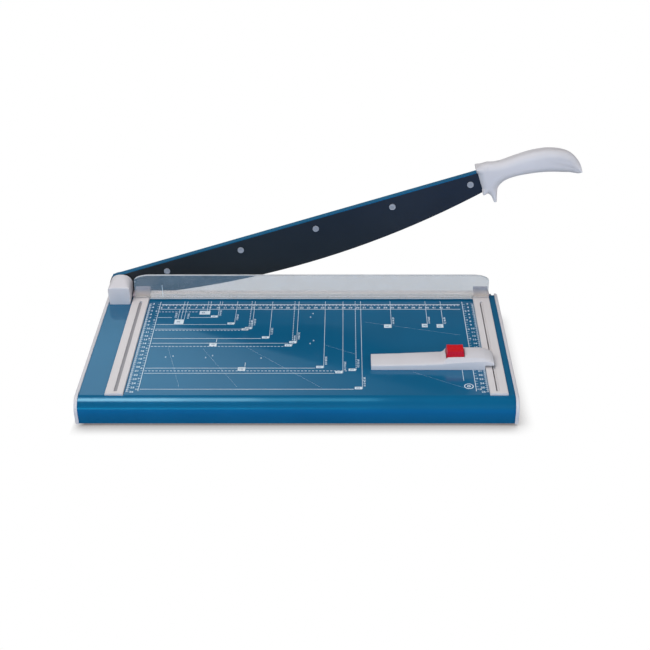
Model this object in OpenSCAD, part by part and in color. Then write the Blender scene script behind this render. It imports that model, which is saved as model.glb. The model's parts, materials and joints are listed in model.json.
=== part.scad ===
// Guillotine paper cutter, millimetres.
// Origin: on the resting plane, at the centre of the whole part's box with the arm at its rest angle.
// +X runs along the cutting line to the right, +Y points away from the user, +Z is up.
// Pieces are drawn from the point where the cutting line meets the left stop, then moved by placed().

/* [Table] */
// Height of the table surface above the resting plane
table_z = 38; // [37:0.5:40]
// Width of the table between the side cheeks
table_w = 559.6; // [558:0.2:562]
// Distance from the table's left edge to the left stop
left_margin = 59.3; // [59:0.1:60]
// Distance from the cutting line to the front of the rounded nose
table_depth = 283; // [281:0.5:286]
// Outer radius of the rounded front nose
nose_r = 17; // [15:0.5:18]
// Thickness of the table sheet
sheet_t = 2; // [1.6:0.2:2.4]
// Thickness of a side cheek
cheek_t = 4.4; // [4:0.2:6]

/* [Stop rails] */
// Width of a stop rail
rail_w = 23.4; // [23:0.2:24]
// Height of a stop rail above the table surface
rail_h = 3; // [2.6:0.2:3.2]
// Gap between the two stop rails
rail_gap = 469.8; // [469:0.2:470.4]
// Width of the slot along a rail
slot_w = 1.8; // [1.7:0.1:2.4]

/* [Arm and blade] */
// Rest angle of the arm above the table
arm_angle = 17.456; // [5:0.5:30]
// Height of the pivot axis above the table surface
pivot_h = 16; // [16:0.1:16.4]
// Distance of the pivot axis to the left of the left stop
pivot_left = 45; // [44.6:0.1:45.4]
// Height of the arm bar, top edge to bottom edge
arm_h = 30; // [28:1:32]
// Thickness of the arm bar behind the blade
arm_t = 6; // [5:0.5:6]
// Thickness of the upper blade
blade_t = 3; // [2:0.5:3]
// Radius of the blade's curved cutting edge
edge_r = 1215; // [1150:5:1300]

/* [Press bar] */
// Opening under the press bar at rest
press_open = 2; // [1.6:0.1:2]
// Height of the clear guard, from its lower edge to its top
guard_h = 39; // [36:0.5:44]

/* [Back stop] */
// Distance from the cutting line to the face of the back stop
stop_y = 178.7; // [150:0.1:200]
// Depth of the back stop, face to back
stop_depth = 29.1; // [29:0.1:30]

/* [Hidden] */
$fn = 64;

table_blue = [0.07, 0.33, 0.53];
light_grey = [0.80, 0.81, 0.83];
steel = [0.66, 0.68, 0.71];
dark_steel = [0.14, 0.16, 0.19];
aluminium = [0.78, 0.79, 0.80];
black_rubber = [0.08, 0.08, 0.09];
brass_tone = [0.72, 0.58, 0.30];
button_red = [0.80, 0.10, 0.13];
clear_guard = [0.74, 0.78, 0.82, 0.45];

eps = 0.01;
touch = 0.05;          // air left between faces that slide past each other
hole_ease = 0.1;       // radial room of a plain screw hole
table_x0 = -left_margin;
table_x1 = table_w - left_margin;

// ---------- helpers ----------

// Moves a piece from the corner of cutting line and left stop to the part's own origin.
module placed() {
    translate([-centre_x, -centre_y, 0]) children();
}

// Extrudes a Y-Z section along X, from x0 for a length.
module along_x(x0, length) {
    translate([x0, 0, 0]) rotate([90, 0, 90]) linear_extrude(length) children();
}

// Extrudes an X-Z outline along Y, from y0 for a length.
module along_y(y0, length) {
    translate([0, y0 + length, 0]) rotate([90, 0, 0]) linear_extrude(length) children();
}

// Box given by its low and high corner.
module block(low, high) {
    translate(low) cube(high - low);
}

// Round bar whose axis runs along Y, between two Y values.
module rod_y(x, z, y0, y1, r) {
    translate([x, y1, z]) rotate([90, 0, 0]) cylinder(r = r, h = y1 - y0);
}

// Round bar whose axis runs along X, between two X values.
module rod_x(y, z, x0, x1, r) {
    translate([x0, y, z]) rotate([0, 90, 0]) cylinder(r = r, h = x1 - x0);
}

// Socket drive, cut into a head whose top face is at z = 0.
module hex_socket(across, depth) {
    translate([0, 0, -depth]) cylinder(d = across / cos(30), h = depth + eps, $fn = 6);
}

// Countersunk screw: head flush at z = 0, shank pointing down.
module countersunk_screw(shank_r, head_r, length) {
    cone_h = head_r - shank_r;
    difference() {
        rotate_extrude() polygon([
            [0, -length], [shank_r, -length], [shank_r, -cone_h], [head_r, 0], [0, 0]
        ]);
        hex_socket(shank_r * 1.2, cone_h * 0.8);
    }
}

// The room that a countersunk screw needs.
module countersunk_hole(shank_r, head_r, length) {
    room = hole_ease;
    rotate_extrude() polygon([
        [0, -length], [shank_r + room, -length], [shank_r + room, shank_r - head_r],
        [head_r + room, 0], [head_r + room, 1], [0, 1]
    ]);
}

// Cap screw: head stands on z = 0, shank pointing down.
module cap_screw(shank_r, head_r, head_h, length) {
    difference() {
        union() {
            translate([0, 0, -length]) cylinder(r = shank_r, h = length);
            cylinder(r = head_r, h = head_h);
        }
        translate([0, 0, head_h]) hex_socket(head_r * 0.9, head_h * 0.55);
    }
}

// Coil spring standing on z = 0: closed wire tube swept along a helix.
module coil_spring(coil_r, wire_r, height, turns) {
    sides = 8;
    steps = turns * 20;
    rise = (height - 2 * wire_r) / steps;
    rings = [for (i = [0:steps]) [for (j = [0:sides - 1])
        let (a = 360 * i / 20, b = 360 * j / sides, r = coil_r + wire_r * cos(b))
        [r * cos(a), r * sin(a), wire_r + i * rise + wire_r * sin(b)]]];
    points = [for (ring = rings) each ring];
    tube = [for (i = [0:steps - 1], j = [0:sides - 1])
        let (k = (j + 1) % sides)
        [i * sides + j, (i + 1) * sides + j, (i + 1) * sides + k, i * sides + k]];
    start_cap = [for (j = [0:sides - 1]) j];
    end_cap = [for (j = [sides - 1:-1:0]) steps * sides + j];
    polyhedron(points, concat(tube, [start_cap, end_cap]), convexity = 8);
}

// ---------- table ----------

counter_t = 4;                 // thickness of the counter blade
skirt_z = 3.6;                 // lower edge of the table's front and rear skirts
lean = 5.6;                    // degrees the front leans in below the nose
nose_y = nose_r - table_depth; // Y of the nose centre
nose_z = table_z - nose_r;
lip_w = 8;                     // return lip under the front skirt
table_rear = -counter_t;

// Closed section of the table in Y-Z, grown outwards by grow, cut at rear and bottom.
module table_outline(grow, rear, bottom) {
    r = nose_r + grow;
    front = [nose_y - r * cos(lean), nose_z - r * sin(lean)];
    foot_y = front[0] + (front[1] - bottom) * tan(lean);
    translate([nose_y, nose_z]) circle(r = r, $fn = 96);
    polygon([
        [rear, table_z + grow], [nose_y, table_z + grow], [nose_y, nose_z],
        front, [foot_y, bottom], [rear, bottom]
    ]);
}

beam_t = 16;                   // depth of the rear beam
beam_z0 = 10;                  // underside of both beams
rear_beam_y = table_rear - sheet_t;
front_beam_y = -264;           // front face of the front beam
front_beam_t = 20;
front_beam_z1 = 30;
beam_x0 = table_x0 + touch;
beam_x1 = table_x1 - touch;

rail_left_x = -25.2;           // outer edge of the left rail
rail_right_x = rail_left_x + rail_w + rail_gap;
groove_w = 4.5;                // shallow groove along the middle of a rail
groove_h = 1.3;
groove_left_x = -12.4;
groove_right_x = 478.6;
slot_x = 477.3;                // slot in the right rail's groove, for the back stop
rail_front = -268.5;
rail_rear = -6;
channel_w = 13;                // channel of the right rail, under the table surface
channel_h = 7;
channel_front = -266;
channel_rear = -28;
groove_rear = -29;             // rear end of a groove, with a small round hole
hole_r = 1.7;
slot_front = -263;

post_left_x = -12;
post_right_x = 480;
post_y = -11.2;
post_r = 3;

pivot_x = -pivot_left;
pivot_z = table_z + pivot_h;
bracket_screw_x = [pivot_x - 6, pivot_x + 11.4];
bracket_screw_y = -16;
bracket_leg_z = table_z - 12;
cover_screw_x = [-51, -32];
cover_screw_y = -25.7;

counter_x0 = -14;
counter_x1 = 496;
counter_screw_x = [for (i = [0:5]) 20 + i * 86];
counter_screw_z = table_z - 11;
rail_screw_y = [-60, -150, -235];
rail_screw_x = [rail_left_x + 2.5, slot_x + 9];

module table_top() color(table_blue) placed() difference() {
    union() {
        along_x(table_x0, table_w) difference() {
            table_outline(0, table_rear, skirt_z);
            table_outline(-sheet_t, table_rear - sheet_t, skirt_z - 1);
        }
        lip_y = nose_y - nose_r * cos(lean) + (nose_z - nose_r * sin(lean) - skirt_z) * tan(lean);
        block([table_x0, lip_y + eps, skirt_z], [table_x1, lip_y + lip_w, skirt_z + 1.5]);
    }
    block([slot_x - channel_w / 2 - 0.2, channel_front - 0.2, table_z - sheet_t - 1],
          [slot_x + channel_w / 2 + 0.2, channel_rear + 0.2, table_z + 1]);
    for (x = [post_left_x, post_right_x])
        translate([x, post_y, table_z - sheet_t - 1]) cylinder(r = post_r + 0.3, h = sheet_t + 2);
    for (x = bracket_screw_x)
        translate([x, bracket_screw_y, table_z - sheet_t - 1]) cylinder(r = 2.7, h = sheet_t + 2);
    for (x = cover_screw_x)
        translate([x, cover_screw_y, table_z - sheet_t - 1]) cylinder(r = 1.7, h = sheet_t + 2);
    for (x = counter_screw_x)
        rod_y(x, counter_screw_z, table_rear - sheet_t - 1, table_rear + 1, 2.7);
    for (x = bracket_screw_x)
        rod_y(x, bracket_leg_z, table_rear - sheet_t - 1, table_rear + 1, 2.7);
    for (y = rail_screw_y, x = rail_screw_x)
        translate([x, y, table_z - sheet_t - 1]) cylinder(r = 1.5, h = sheet_t + 2);
}

cheek_proud = 1;               // how far a cheek stands out round the table's section
cheek_screw_rear = [-14, 17];
cheek_screw_front = [-254, 20];

// One side cheek with its inner face at x = 0: plate, softened rim, and a rib that plugs into the table.
module cheek() {
    rim_t = 1.2;
    rib_l = 6;
    difference() {
        union() {
            along_x(rim_t - cheek_t, cheek_t - rim_t)
                table_outline(cheek_proud, -0.6, skirt_z - 0.8);
            along_x(-cheek_t, rim_t + eps) table_outline(0.1, -1.4, skirt_z);
            intersection() {
                along_x(-eps, rib_l) difference() {
                    table_outline(-sheet_t - 0.15, -30, skirt_z + 4);
                    table_outline(-sheet_t - 2, -34, skirt_z + 3);
                }
                block([-1, -275, table_z - 14], [rib_l + 1, -60, table_z]);
            }
        }
        for (p = [cheek_screw_rear, cheek_screw_front])
            translate([-cheek_t, p[0], p[1]]) rotate([0, -90, 0]) countersunk_hole(2, 4, cheek_t + 2);
    }
}

module left_cheek() color(light_grey) placed() translate([table_x0, 0, 0]) cheek();

module right_cheek() color(light_grey) placed() translate([table_x1, 0, 0]) mirror([1, 0, 0]) cheek();

module cheek_screws() color(steel) placed() {
    for (side = [0, 1], p = [cheek_screw_rear, cheek_screw_front])
        translate([side ? table_x1 : table_x0, 0, 0]) mirror([side, 0, 0])
            translate([-cheek_t, p[0], p[1]]) rotate([0, -90, 0]) countersunk_screw(2, 4, 14);
}

// ---------- frame under the table ----------

cross_x = [70, 380];
cross_w = 20;
cross_z0 = 13;
cross_h = 8;
foot_x = [-40, 480];
foot_y_rear = -14;
foot_y_front = -254;
foot_r = 6.5;

module rear_beam() color(aluminium) placed() difference() {
    block([beam_x0, rear_beam_y - beam_t, beam_z0], [beam_x1, rear_beam_y, table_z - sheet_t]);
    for (x = counter_screw_x)
        rod_y(x, counter_screw_z, rear_beam_y - 9, rear_beam_y + 1, 2.6);
    for (x = bracket_screw_x) {
        rod_y(x, bracket_leg_z, rear_beam_y - 9, rear_beam_y + 1, 2.6);
        translate([x, bracket_screw_y, table_z - 16]) cylinder(r = 2.6, h = 20);
    }
    for (x = [post_left_x, post_right_x])
        translate([x, post_y, table_z - 18]) cylinder(r = post_r + 0.02, h = 20);
    for (x = foot_x)
        translate([x, foot_y_rear, beam_z0 - 1]) cylinder(r = 2.1, h = 9);
    for (x = cross_x)
        rod_y(x, cross_z0 + cross_h / 2, rear_beam_y - beam_t - 1, rear_beam_y + 1, 2.1);
    for (x = cross_x)
        rod_y(x, cross_z0 + cross_h / 2, rear_beam_y - 3, rear_beam_y + 1, 4);
    rod_x(cheek_screw_rear[0], cheek_screw_rear[1], beam_x0 - 1, beam_x0 + 10.5, 2.1);
    rod_x(cheek_screw_rear[0], cheek_screw_rear[1], beam_x1 - 10.5, beam_x1 + 1, 2.1);
}

module front_beam() color(aluminium) placed() difference() {
    block([beam_x0, front_beam_y, beam_z0], [beam_x1, front_beam_y + front_beam_t, front_beam_z1]);
    for (x = foot_x)
        translate([x, foot_y_front, beam_z0 - 1]) cylinder(r = 2.1, h = 9);
    for (x = cross_x) {
        rod_y(x, cross_z0 + cross_h / 2, front_beam_y - 1, front_beam_y + front_beam_t + 1, 2.1);
        rod_y(x, cross_z0 + cross_h / 2, front_beam_y - 1, front_beam_y + 3, 4);
    }
    rod_x(cheek_screw_front[0], cheek_screw_front[1], beam_x0 - 1, beam_x0 + 10.5, 2.1);
    rod_x(cheek_screw_front[0], cheek_screw_front[1], beam_x1 - 10.5, beam_x1 + 1, 2.1);
}

// Flat bar that ties the rear beam to the front beam.
module cross_member(x) {
    y0 = front_beam_y + front_beam_t;
    y1 = rear_beam_y - beam_t;
    color(aluminium) placed() difference() {
        block([x - cross_w / 2, y0, cross_z0], [x + cross_w / 2, y1, cross_z0 + cross_h]);
        rod_y(x, cross_z0 + cross_h / 2, y0 - 1, y0 + 12, 2.1);
        rod_y(x, cross_z0 + cross_h / 2, y1 - 12, y1 + 1, 2.1);
    }
}

module left_cross_member() cross_member(cross_x[0]);

module right_cross_member() cross_member(cross_x[1]);

module frame_screws() color(steel) placed() {
    for (x = cross_x) {
        translate([x, rear_beam_y - 3, cross_z0 + cross_h / 2])
            rotate([-90, 0, 0]) cap_screw(2, 3.8, 2.8, beam_t + 6);
        translate([x, front_beam_y + 3, cross_z0 + cross_h / 2])
            rotate([90, 0, 0]) cap_screw(2, 3.8, 2.8, front_beam_t + 6);
    }
}

// Round rubber foot with a recess for its screw.
module foot(x, y) {
    color(black_rubber) placed() translate([x, y, 0]) difference() {
        rotate_extrude() polygon([
            [0, 0], [foot_r - 1, 0], [foot_r, 1.2], [foot_r + 1, beam_z0], [0, beam_z0]
        ]);
        translate([0, 0, -1]) cylinder(r = 3.9, h = 4);
        translate([0, 0, 1]) cylinder(r = 2.1, h = beam_z0);
    }
}

module foot_front_left() foot(foot_x[0], foot_y_front);

module foot_front_right() foot(foot_x[1], foot_y_front);

module foot_rear_left() foot(foot_x[0], foot_y_rear);

module foot_rear_right() foot(foot_x[1], foot_y_rear);

module foot_screws() color(steel) placed() {
    for (x = foot_x, y = [foot_y_front, foot_y_rear])
        translate([x, y, 3]) rotate([180, 0, 0]) cap_screw(2, 3.7, 2, 13);
}

// ---------- cutting edge ----------

counter_h = 22;

module counter_blade() color(steel) placed() difference() {
    block([counter_x0, table_rear, table_z - counter_h], [counter_x1, 0, table_z]);
    for (x = counter_screw_x)
        translate([x, -0.3, counter_screw_z]) rotate([-90, 0, 0]) countersunk_hole(2.5, 4.6, 6);
}

module counter_blade_screws() color(dark_steel) placed() {
    for (x = counter_screw_x)
        translate([x, -0.3, counter_screw_z]) rotate([-90, 0, 0]) countersunk_screw(2.5, 4.6, 13);
}

// ---------- stop rails ----------

channel_room_w = 7.6;
channel_room_h = 3.6;
head_room_z = table_z - channel_h + 1.4;

// One stop rail: a flat strip with a shallow groove, and room for its guide post and screws.
module stop_rail(x_edge, groove_x, post_x, screw_x) {
    top = table_z + rail_h;
    difference() {
        along_y(rail_front, rail_rear - rail_front) polygon([
            [x_edge, table_z], [x_edge, top - 0.6], [x_edge + 0.6, top],
            [x_edge + rail_w - 0.6, top], [x_edge + rail_w, top - 0.6], [x_edge + rail_w, table_z]
        ]);
        block([groove_x - groove_w / 2, slot_front, top - groove_h],
              [groove_x + groove_w / 2, groove_rear, top + 1]);
        translate([groove_x, groove_rear, table_z - 1]) cylinder(r = hole_r, h = rail_h + 2);
        translate([post_x, post_y, table_z - 1]) cylinder(r = post_r + 0.3, h = rail_h + 2);
        for (y = rail_screw_y)
            translate([screw_x, y, table_z - 1]) cylinder(r = 1.3, h = 3.2);
    }
}

module left_rail() color(light_grey) placed() {
    stop_rail(rail_left_x, groove_left_x, post_left_x, rail_screw_x[0]);
}

// The right rail also has a T-shaped channel let into the table, open at its rear end.
module right_rail() color(light_grey) placed() difference() {
    union() {
        stop_rail(rail_right_x, groove_right_x, post_right_x, rail_screw_x[1]);
        block([slot_x - channel_w / 2, channel_front, table_z - channel_h],
              [slot_x + channel_w / 2, channel_rear, table_z + eps]);
    }
    block([slot_x - channel_room_w / 2, slot_front, head_room_z],
          [slot_x + channel_room_w / 2, channel_rear + 1, head_room_z + channel_room_h]);
    block([slot_x - slot_w / 2, slot_front, head_room_z],
          [slot_x + slot_w / 2, groove_rear, table_z + rail_h + 1]);
}

module rail_screws() color(steel) placed() {
    for (x = rail_screw_x, y = rail_screw_y)
        translate([x, y, table_z - sheet_t]) rotate([180, 0, 0]) cap_screw(1.25, 2.2, 1.6, 4);
}

// ---------- pivot ----------

lug_t = 10;                    // bracket lug, along the pivot axis
lug_y1 = -1.05;
lug_y0 = lug_y1 - lug_t;
lug_r = 11;
bolt_r = 5;
flange_h = 5;
flange_x1 = pivot_x + 16;      // right end of the bracket's flange
flange_front = -22.4;
hub_y0 = touch;
hub_y1 = touch + blade_t + arm_t;
disc_y0 = -15;
washer_t = 1.5;
nut_t = 7.5;

module pivot_bracket() color(steel) placed() difference() {
    union() {
        rod_y(pivot_x, pivot_z, lug_y0, lug_y1, lug_r);
        block([pivot_x - lug_r, lug_y0, table_z], [pivot_x + lug_r, lug_y1, pivot_z]);
        block([pivot_x - lug_r, flange_front, table_z], [flange_x1, lug_y1, table_z + flange_h]);
        block([pivot_x - lug_r, table_rear + touch, table_z - 18],
              [flange_x1, lug_y1, table_z + flange_h]);
    }
    rod_y(pivot_x, pivot_z, lug_y0 - 1, lug_y1 + 1, bolt_r + touch);
    for (x = bracket_screw_x) {
        translate([x, bracket_screw_y, table_z + flange_h]) countersunk_hole(2.5, 4.4, 8);
        translate([x, lug_y1, bracket_leg_z]) rotate([-90, 0, 0]) countersunk_hole(2.5, 4.2, 6);
    }
}

module bracket_screws() color(dark_steel) placed() {
    for (x = bracket_screw_x) {
        translate([x, bracket_screw_y, table_z + flange_h]) countersunk_screw(2.5, 4.4, 18);
        translate([x, lug_y1, bracket_leg_z]) rotate([-90, 0, 0]) countersunk_screw(2.5, 4.2, 12);
    }
}

module pivot_bolt() color(steel) placed() difference() {
    union() {
        rod_y(pivot_x, pivot_z, -26, hub_y1 + touch + eps, bolt_r);
        translate([pivot_x, hub_y1 + touch, pivot_z]) rotate([-90, 0, 0]) rotate_extrude() polygon([
            [0, 0], [9, 0], [9, 1.8], [7.2, 3.6], [0, 3.6]
        ]);
    }
    translate([pivot_x, hub_y1 + touch + 3.6, pivot_z]) rotate([-90, 0, 0]) hex_socket(6, 2.6);
}

module friction_washer() color(brass_tone) placed() difference() {
    rod_y(pivot_x, pivot_z, lug_y1, 0, 14);
    rod_y(pivot_x, pivot_z, lug_y1 - 1, 1, bolt_r + 0.2);
}

// Two cone-shaped washers set base to base, which keep the joint tight.
module disc_springs() color(steel) placed() {
    dish_t = 0.9;
    dish_rise = (lug_y0 - disc_y0) / 2 - dish_t - 0.02;
    for (side = [0, 1])
        translate([pivot_x, side ? disc_y0 + 0.01 : lug_y0 - 0.01, pivot_z])
            rotate([side ? -90 : 90, 0, 0]) rotate_extrude() polygon([
                [bolt_r + 0.2, 0], [bolt_r + 0.2, dish_t], [10, dish_rise + dish_t], [10, dish_rise]
            ]);
}

module nut_washer() color(steel) placed() difference() {
    rod_y(pivot_x, pivot_z, disc_y0 - washer_t, disc_y0, 9.5);
    rod_y(pivot_x, pivot_z, disc_y0 - 3, disc_y0 + 1, bolt_r + 0.2);
}

module pivot_nut() color(steel) placed() difference() {
    translate([pivot_x, disc_y0 - washer_t, pivot_z]) rotate([90, 0, 0]) union() {
        cylinder(d = 17 / cos(30), h = nut_t - 2, $fn = 6);
        cylinder(r = 7.6, h = nut_t);
    }
    rod_y(pivot_x, pivot_z, disc_y0 - 20, disc_y0 + 1, bolt_r + touch);
}

cover_x0 = -58.3;
cover_x1 = -26.7;
cover_front = -31.4;
cover_rear = -2.2;
cover_top = table_z + 33;
cover_wall = 2;
cover_crown_r = 14;            // rounding of the roof's two shoulders
cover_corner_r = 3;
cover_brow_r = 6;              // rounding where the front face turns into the roof

// Shape of the pivot cover, made smaller all round by inset.
module cover_form(inset) {
    x0 = cover_x0 + inset;
    x1 = cover_x1 - inset;
    y0 = cover_front + inset;
    y1 = cover_rear + (inset > 0 ? 1 : 0);
    z1 = cover_top - inset;
    z0 = table_z - (inset > 0 ? 1 : 0);
    crown_r = cover_crown_r - inset;
    corner_r = cover_corner_r - inset;
    brow_r = cover_brow_r - inset;
    intersection() {
        along_y(y0, y1 - y0) union() {
            for (x = [x0 + crown_r, x1 - crown_r])
                translate([x, z1 - crown_r]) circle(r = crown_r);
            translate([x0 + crown_r, z0]) square([x1 - x0 - 2 * crown_r, z1 - z0]);
            translate([x0, z0]) square([x1 - x0, z1 - crown_r - z0]);
        }
        translate([0, 0, z0]) linear_extrude(z1 - z0 + 1) union() {
            for (x = [x0 + corner_r, x1 - corner_r])
                translate([x, y0 + corner_r]) circle(r = corner_r);
            translate([x0 + corner_r, y0]) square([x1 - x0 - 2 * corner_r, corner_r + eps]);
            translate([x0, y0 + corner_r]) square([x1 - x0, y1 - y0 - corner_r]);
        }
        along_x(x0 - 1, x1 - x0 + 2) union() {
            translate([y0 + brow_r, z1 - brow_r]) circle(r = brow_r);
            translate([y0, z0]) square([y1 - y0, z1 - brow_r - z0]);
            translate([y0 + brow_r, z0]) square([y1 - y0 - brow_r, z1 - z0]);
        }
    }
}

module pivot_cover() color(light_grey) placed() difference() {
    union() {
        difference() {
            cover_form(0);
            cover_form(cover_wall);
        }
        for (x = cover_screw_x) {
            translate([x, cover_screw_y, table_z]) cylinder(r = 3.2, h = 5);
            block([x - 3.2, cover_front + 1, table_z], [x + 3.2, cover_screw_y, table_z + 5]);
        }
    }
    for (x = cover_screw_x)
        translate([x, cover_screw_y, table_z - 2]) cylinder(r = 1.35, h = 6);
}

module cover_screws() color(steel) placed() {
    for (x = cover_screw_x)
        translate([x, cover_screw_y, table_z - sheet_t]) rotate([180, 0, 0]) cap_screw(1.3, 2.6, 1.6, 5);
}

// ---------- arm, drawn in its own frame: x along the arm from the pivot, z square to it ----------

hub_r = 15.5;
belly_x = 262;                 // place of the blade's deepest point, along the arm
belly_z = -48.4;
blade_x1 = 546;
blade_top = arm_h / 2 - 1.2;
lip_x = [-6.8, 538.6];         // ends of the bar's lip over the blade's back
bar_end = 549;
tang_end = 604;
tang_z = [-3, 13];             // lower and upper edge of the tang inside the handle
first_screw = 72.8;
screw_pitch = 113.4;
blade_screw_x = [for (i = [0:4]) first_screw + i * screw_pitch];
bush_r = 6;
handle_screws_at = [[574, 5.5], [596, 6]];

// Places something drawn in the arm's own frame.
module on_arm() {
    translate([pivot_x, 0, pivot_z]) rotate([0, -arm_angle, 0]) children();
}

module arm_bar() color(table_blue) placed() on_arm() difference() {
    union() {
        rod_y(0, 0, hub_y0 + blade_t, hub_y1, hub_r);
        block([0, hub_y0 + blade_t, -arm_h / 2], [bar_end, hub_y1, arm_h / 2]);
        block([lip_x[0], hub_y0, blade_top + touch], [lip_x[1], hub_y1, arm_h / 2]);
        block([bar_end - 1, hub_y0 + blade_t, tang_z[0]], [tang_end, hub_y1, tang_z[1]]);
    }
    rod_y(0, 0, -1, hub_y1 + 1, bush_r + 0.02);
    for (x = blade_screw_x)
        rod_y(x, 0, 0, hub_y1 + 1, 2.6);
    for (p = handle_screws_at)
        rod_y(p[0], p[1], 0, hub_y1 + 1, 2.6);
}

module pivot_bush() color(brass_tone) placed() on_arm() difference() {
    rod_y(0, 0, hub_y0, hub_y1, bush_r);
    rod_y(0, 0, -1, hub_y1 + 1, bolt_r + touch);
}

// Blade outline: eye round the pivot, straight back, curved cutting edge.
module blade_outline() {
    intersection() {
        translate([belly_x, belly_z + edge_r]) circle(r = edge_r, $fn = 720);
        polygon([[0, blade_top], [0, -80], [blade_x1, -80], [blade_x1, blade_top]]);
    }
    intersection() {
        circle(r = hub_r);
        translate([-hub_r, -hub_r]) square([2 * hub_r, hub_r + blade_top]);
    }
}

module upper_blade() color(dark_steel) placed() on_arm() difference() {
    along_y(hub_y0, blade_t - touch) blade_outline();
    rod_y(0, 0, -1, 5, bush_r + 0.02);
    for (x = blade_screw_x)
        rod_y(x, 0, -1, 5, 2.6);
}

module blade_screws() color(steel) placed() on_arm() {
    for (x = blade_screw_x)
        translate([x, hub_y0, 0]) rotate([90, 0, 0]) cap_screw(2.5, 4.5, 1.1, hub_y1 - hub_y0 - 0.5);
}

handle_y = 6.05;               // parting plane of the handle's two shells
handle_half = 12.5;
collar_half = 10.5;

// Palm grip from neck to tip, as a smooth closed curve through the points that shape it.
top_line = [[556, 19.3], [575, 19.3], [597, 20.4], [618, 20.8], [638, 18.4], [655, 12.6],
            [668, 4.4], [675.5, -6], [679.3, -18], [679.6, -28.4]];
bottom_line = [[673, -28.2], [655, -20.9], [632, -13.3], [608, -8.7], [588, -7.1], [573, -9.2],
               [563.5, -15], [559.2, -22], [556.9, -29], [555.2, -35.2]];

// Catmull-Rom curve through a list of points, with a number of steps between each pair.
function smooth(p, steps) = let (n = len(p)) [
    for (i = [0:n - 2], k = [0:steps - 1])
        let (a = p[max(i - 1, 0)], b = p[i], c = p[i + 1], d = p[min(i + 2, n - 1)], t = k / steps)
        0.5 * (2 * b + (c - a) * t + (2 * a - 5 * b + 4 * c - d) * t * t
               + (3 * b - a - 3 * c + d) * t * t * t),
    p[n - 1]
];

// Centre of the whole part's box: between the left cheek and the handle's tip, and between
// the nose of the cheeks and the back of the handle.
tip = top_line[len(top_line) - 1];
reach = pivot_x + tip[0] * cos(arm_angle) - tip[1] * sin(arm_angle);
centre_x = (table_x0 - cheek_t + reach) / 2;
centre_y = (handle_y + handle_half - table_depth - cheek_proud) / 2;

module handle_outline() {
    polygon(concat(
        [[539, -20.6], [539, 21.2], [556, 21.2]],
        smooth(top_line, 4),
        smooth(bottom_line, 4),
        [[551.2, -34.6], [549.4, -24.5], [545, -20.4]]
    ));
}

// Handle between two Y values, with its collar thinner than the palm.
module handle_blank(y0, y1) {
    intersection() {
        along_y(y0, y1 - y0) handle_outline();
        translate([0, handle_y, -60]) linear_extrude(120) polygon([
            [538, -collar_half], [556, -collar_half], [590, -handle_half], [655, -handle_half],
            [672, -handle_half + 2.5], [680, -handle_half + 6], [680, handle_half - 6],
            [672, handle_half - 2.5], [655, handle_half], [590, handle_half], [556, collar_half],
            [538, collar_half]
        ]);
    }
}

// Room inside the handle for the end of the arm, its tang and the end of the blade.
module arm_end_room() {
    bar_y = hub_y0 + blade_t - touch;
    half_h = arm_h / 2 + 0.1;
    block([530, bar_y, -half_h], [bar_end + 0.1, hub_y1 + touch, half_h]);
    block([530, bar_y, tang_z[0] - 0.1], [tang_end + 0.2, hub_y1 + touch, tang_z[1] + 0.1]);
    block([530, hub_y0 - touch, -19], [blade_x1 + 0.2, hub_y0 + blade_t, half_h]);
}

module handle_front_shell() color(light_grey) placed() on_arm() difference() {
    handle_blank(handle_y - handle_half, handle_y);
    arm_end_room();
    for (p = handle_screws_at)
        rod_y(p[0], p[1], -3.5, handle_y + 1, 2.2);
}

module handle_rear_shell() color(light_grey) placed() on_arm() difference() {
    handle_blank(handle_y, handle_y + handle_half);
    arm_end_room();
    for (p = handle_screws_at) {
        rod_y(p[0], p[1], handle_y - 1, 20, 2.7);
        rod_y(p[0], p[1], 13, 20, 4.6);
    }
}

module handle_screws() color(steel) placed() on_arm() {
    for (p = handle_screws_at)
        translate([p[0], 13.05, p[1]]) rotate([-90, 0, 0]) cap_screw(2.1, 4.2, 3, 16);
}

// ---------- press bar and guard ----------

bar_y0 = -17.4;
bar_y1 = -8;
bar_z0 = table_z + press_open + 1.2;
bar_z1 = table_z + 10;
block_z0 = table_z + rail_h + press_open + 0.2;
block_z1 = table_z + 21.5;
shield_t = 2;
shield_y0 = bar_y0 - 0.1 - shield_t;
shield_z0 = table_z + press_open;
shield_z1 = shield_z0 + guard_h;
shield_x0 = -21.5;
shield_x1 = 489.5;
lip_depth = 3.2;               // rim along the top of the guard, turned to the rear
lip_t = 1.6;
lip_drop = 12;                 // how far the rim follows the corners down
inner_left = 0.3;              // press bar reaches between these two lines at table level
inner_right = rail_right_x - 1.9;
arm_reach = 5.8;               // the bar's ends reach this far into the guide blocks
block_left = [-25.5, 0];
block_right = [rail_right_x + 0.6, rail_right_x + rail_w];
block_y = [bar_y0 + 0.1, -5];
block_fall = 7;                // how far a block's top slopes down to the rear
tongue_y0 = bar_y0 + 2.2;      // front of the bar's thinner ends
spring_room_r = 4.6;
press_coil_r = 3.6;
spring_top = block_z0 + 4.5;
head_seat_z = block_z1 - 8.9;  // step in a block that meets the head of its post
screw_seat_z = block_z1 - 6.6; // step under the head of a block's screw

block_screw_x = [block_left[1] - 3, block_right[0] + 2.4];

module press_bar() color(light_grey) placed() difference() {
    union() {
        block([inner_left, bar_y0, bar_z0], [inner_right, bar_y1, bar_z1]);
        block([block_left[1] - arm_reach, tongue_y0, block_z0 + 0.1],
              [block_right[0] + arm_reach - 1, bar_y1, bar_z1]);
    }
    block([block_left[1] + 0.2, bar_y0 - 1, bar_z0 + 1.9],
          [block_right[0] - 0.2, bar_y0 + 1.2, bar_z0 + 4.1]);
    for (x = block_screw_x)
        translate([x, post_y, bar_z1 - 4]) cylinder(r = 1.3, h = 5);
}

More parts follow.
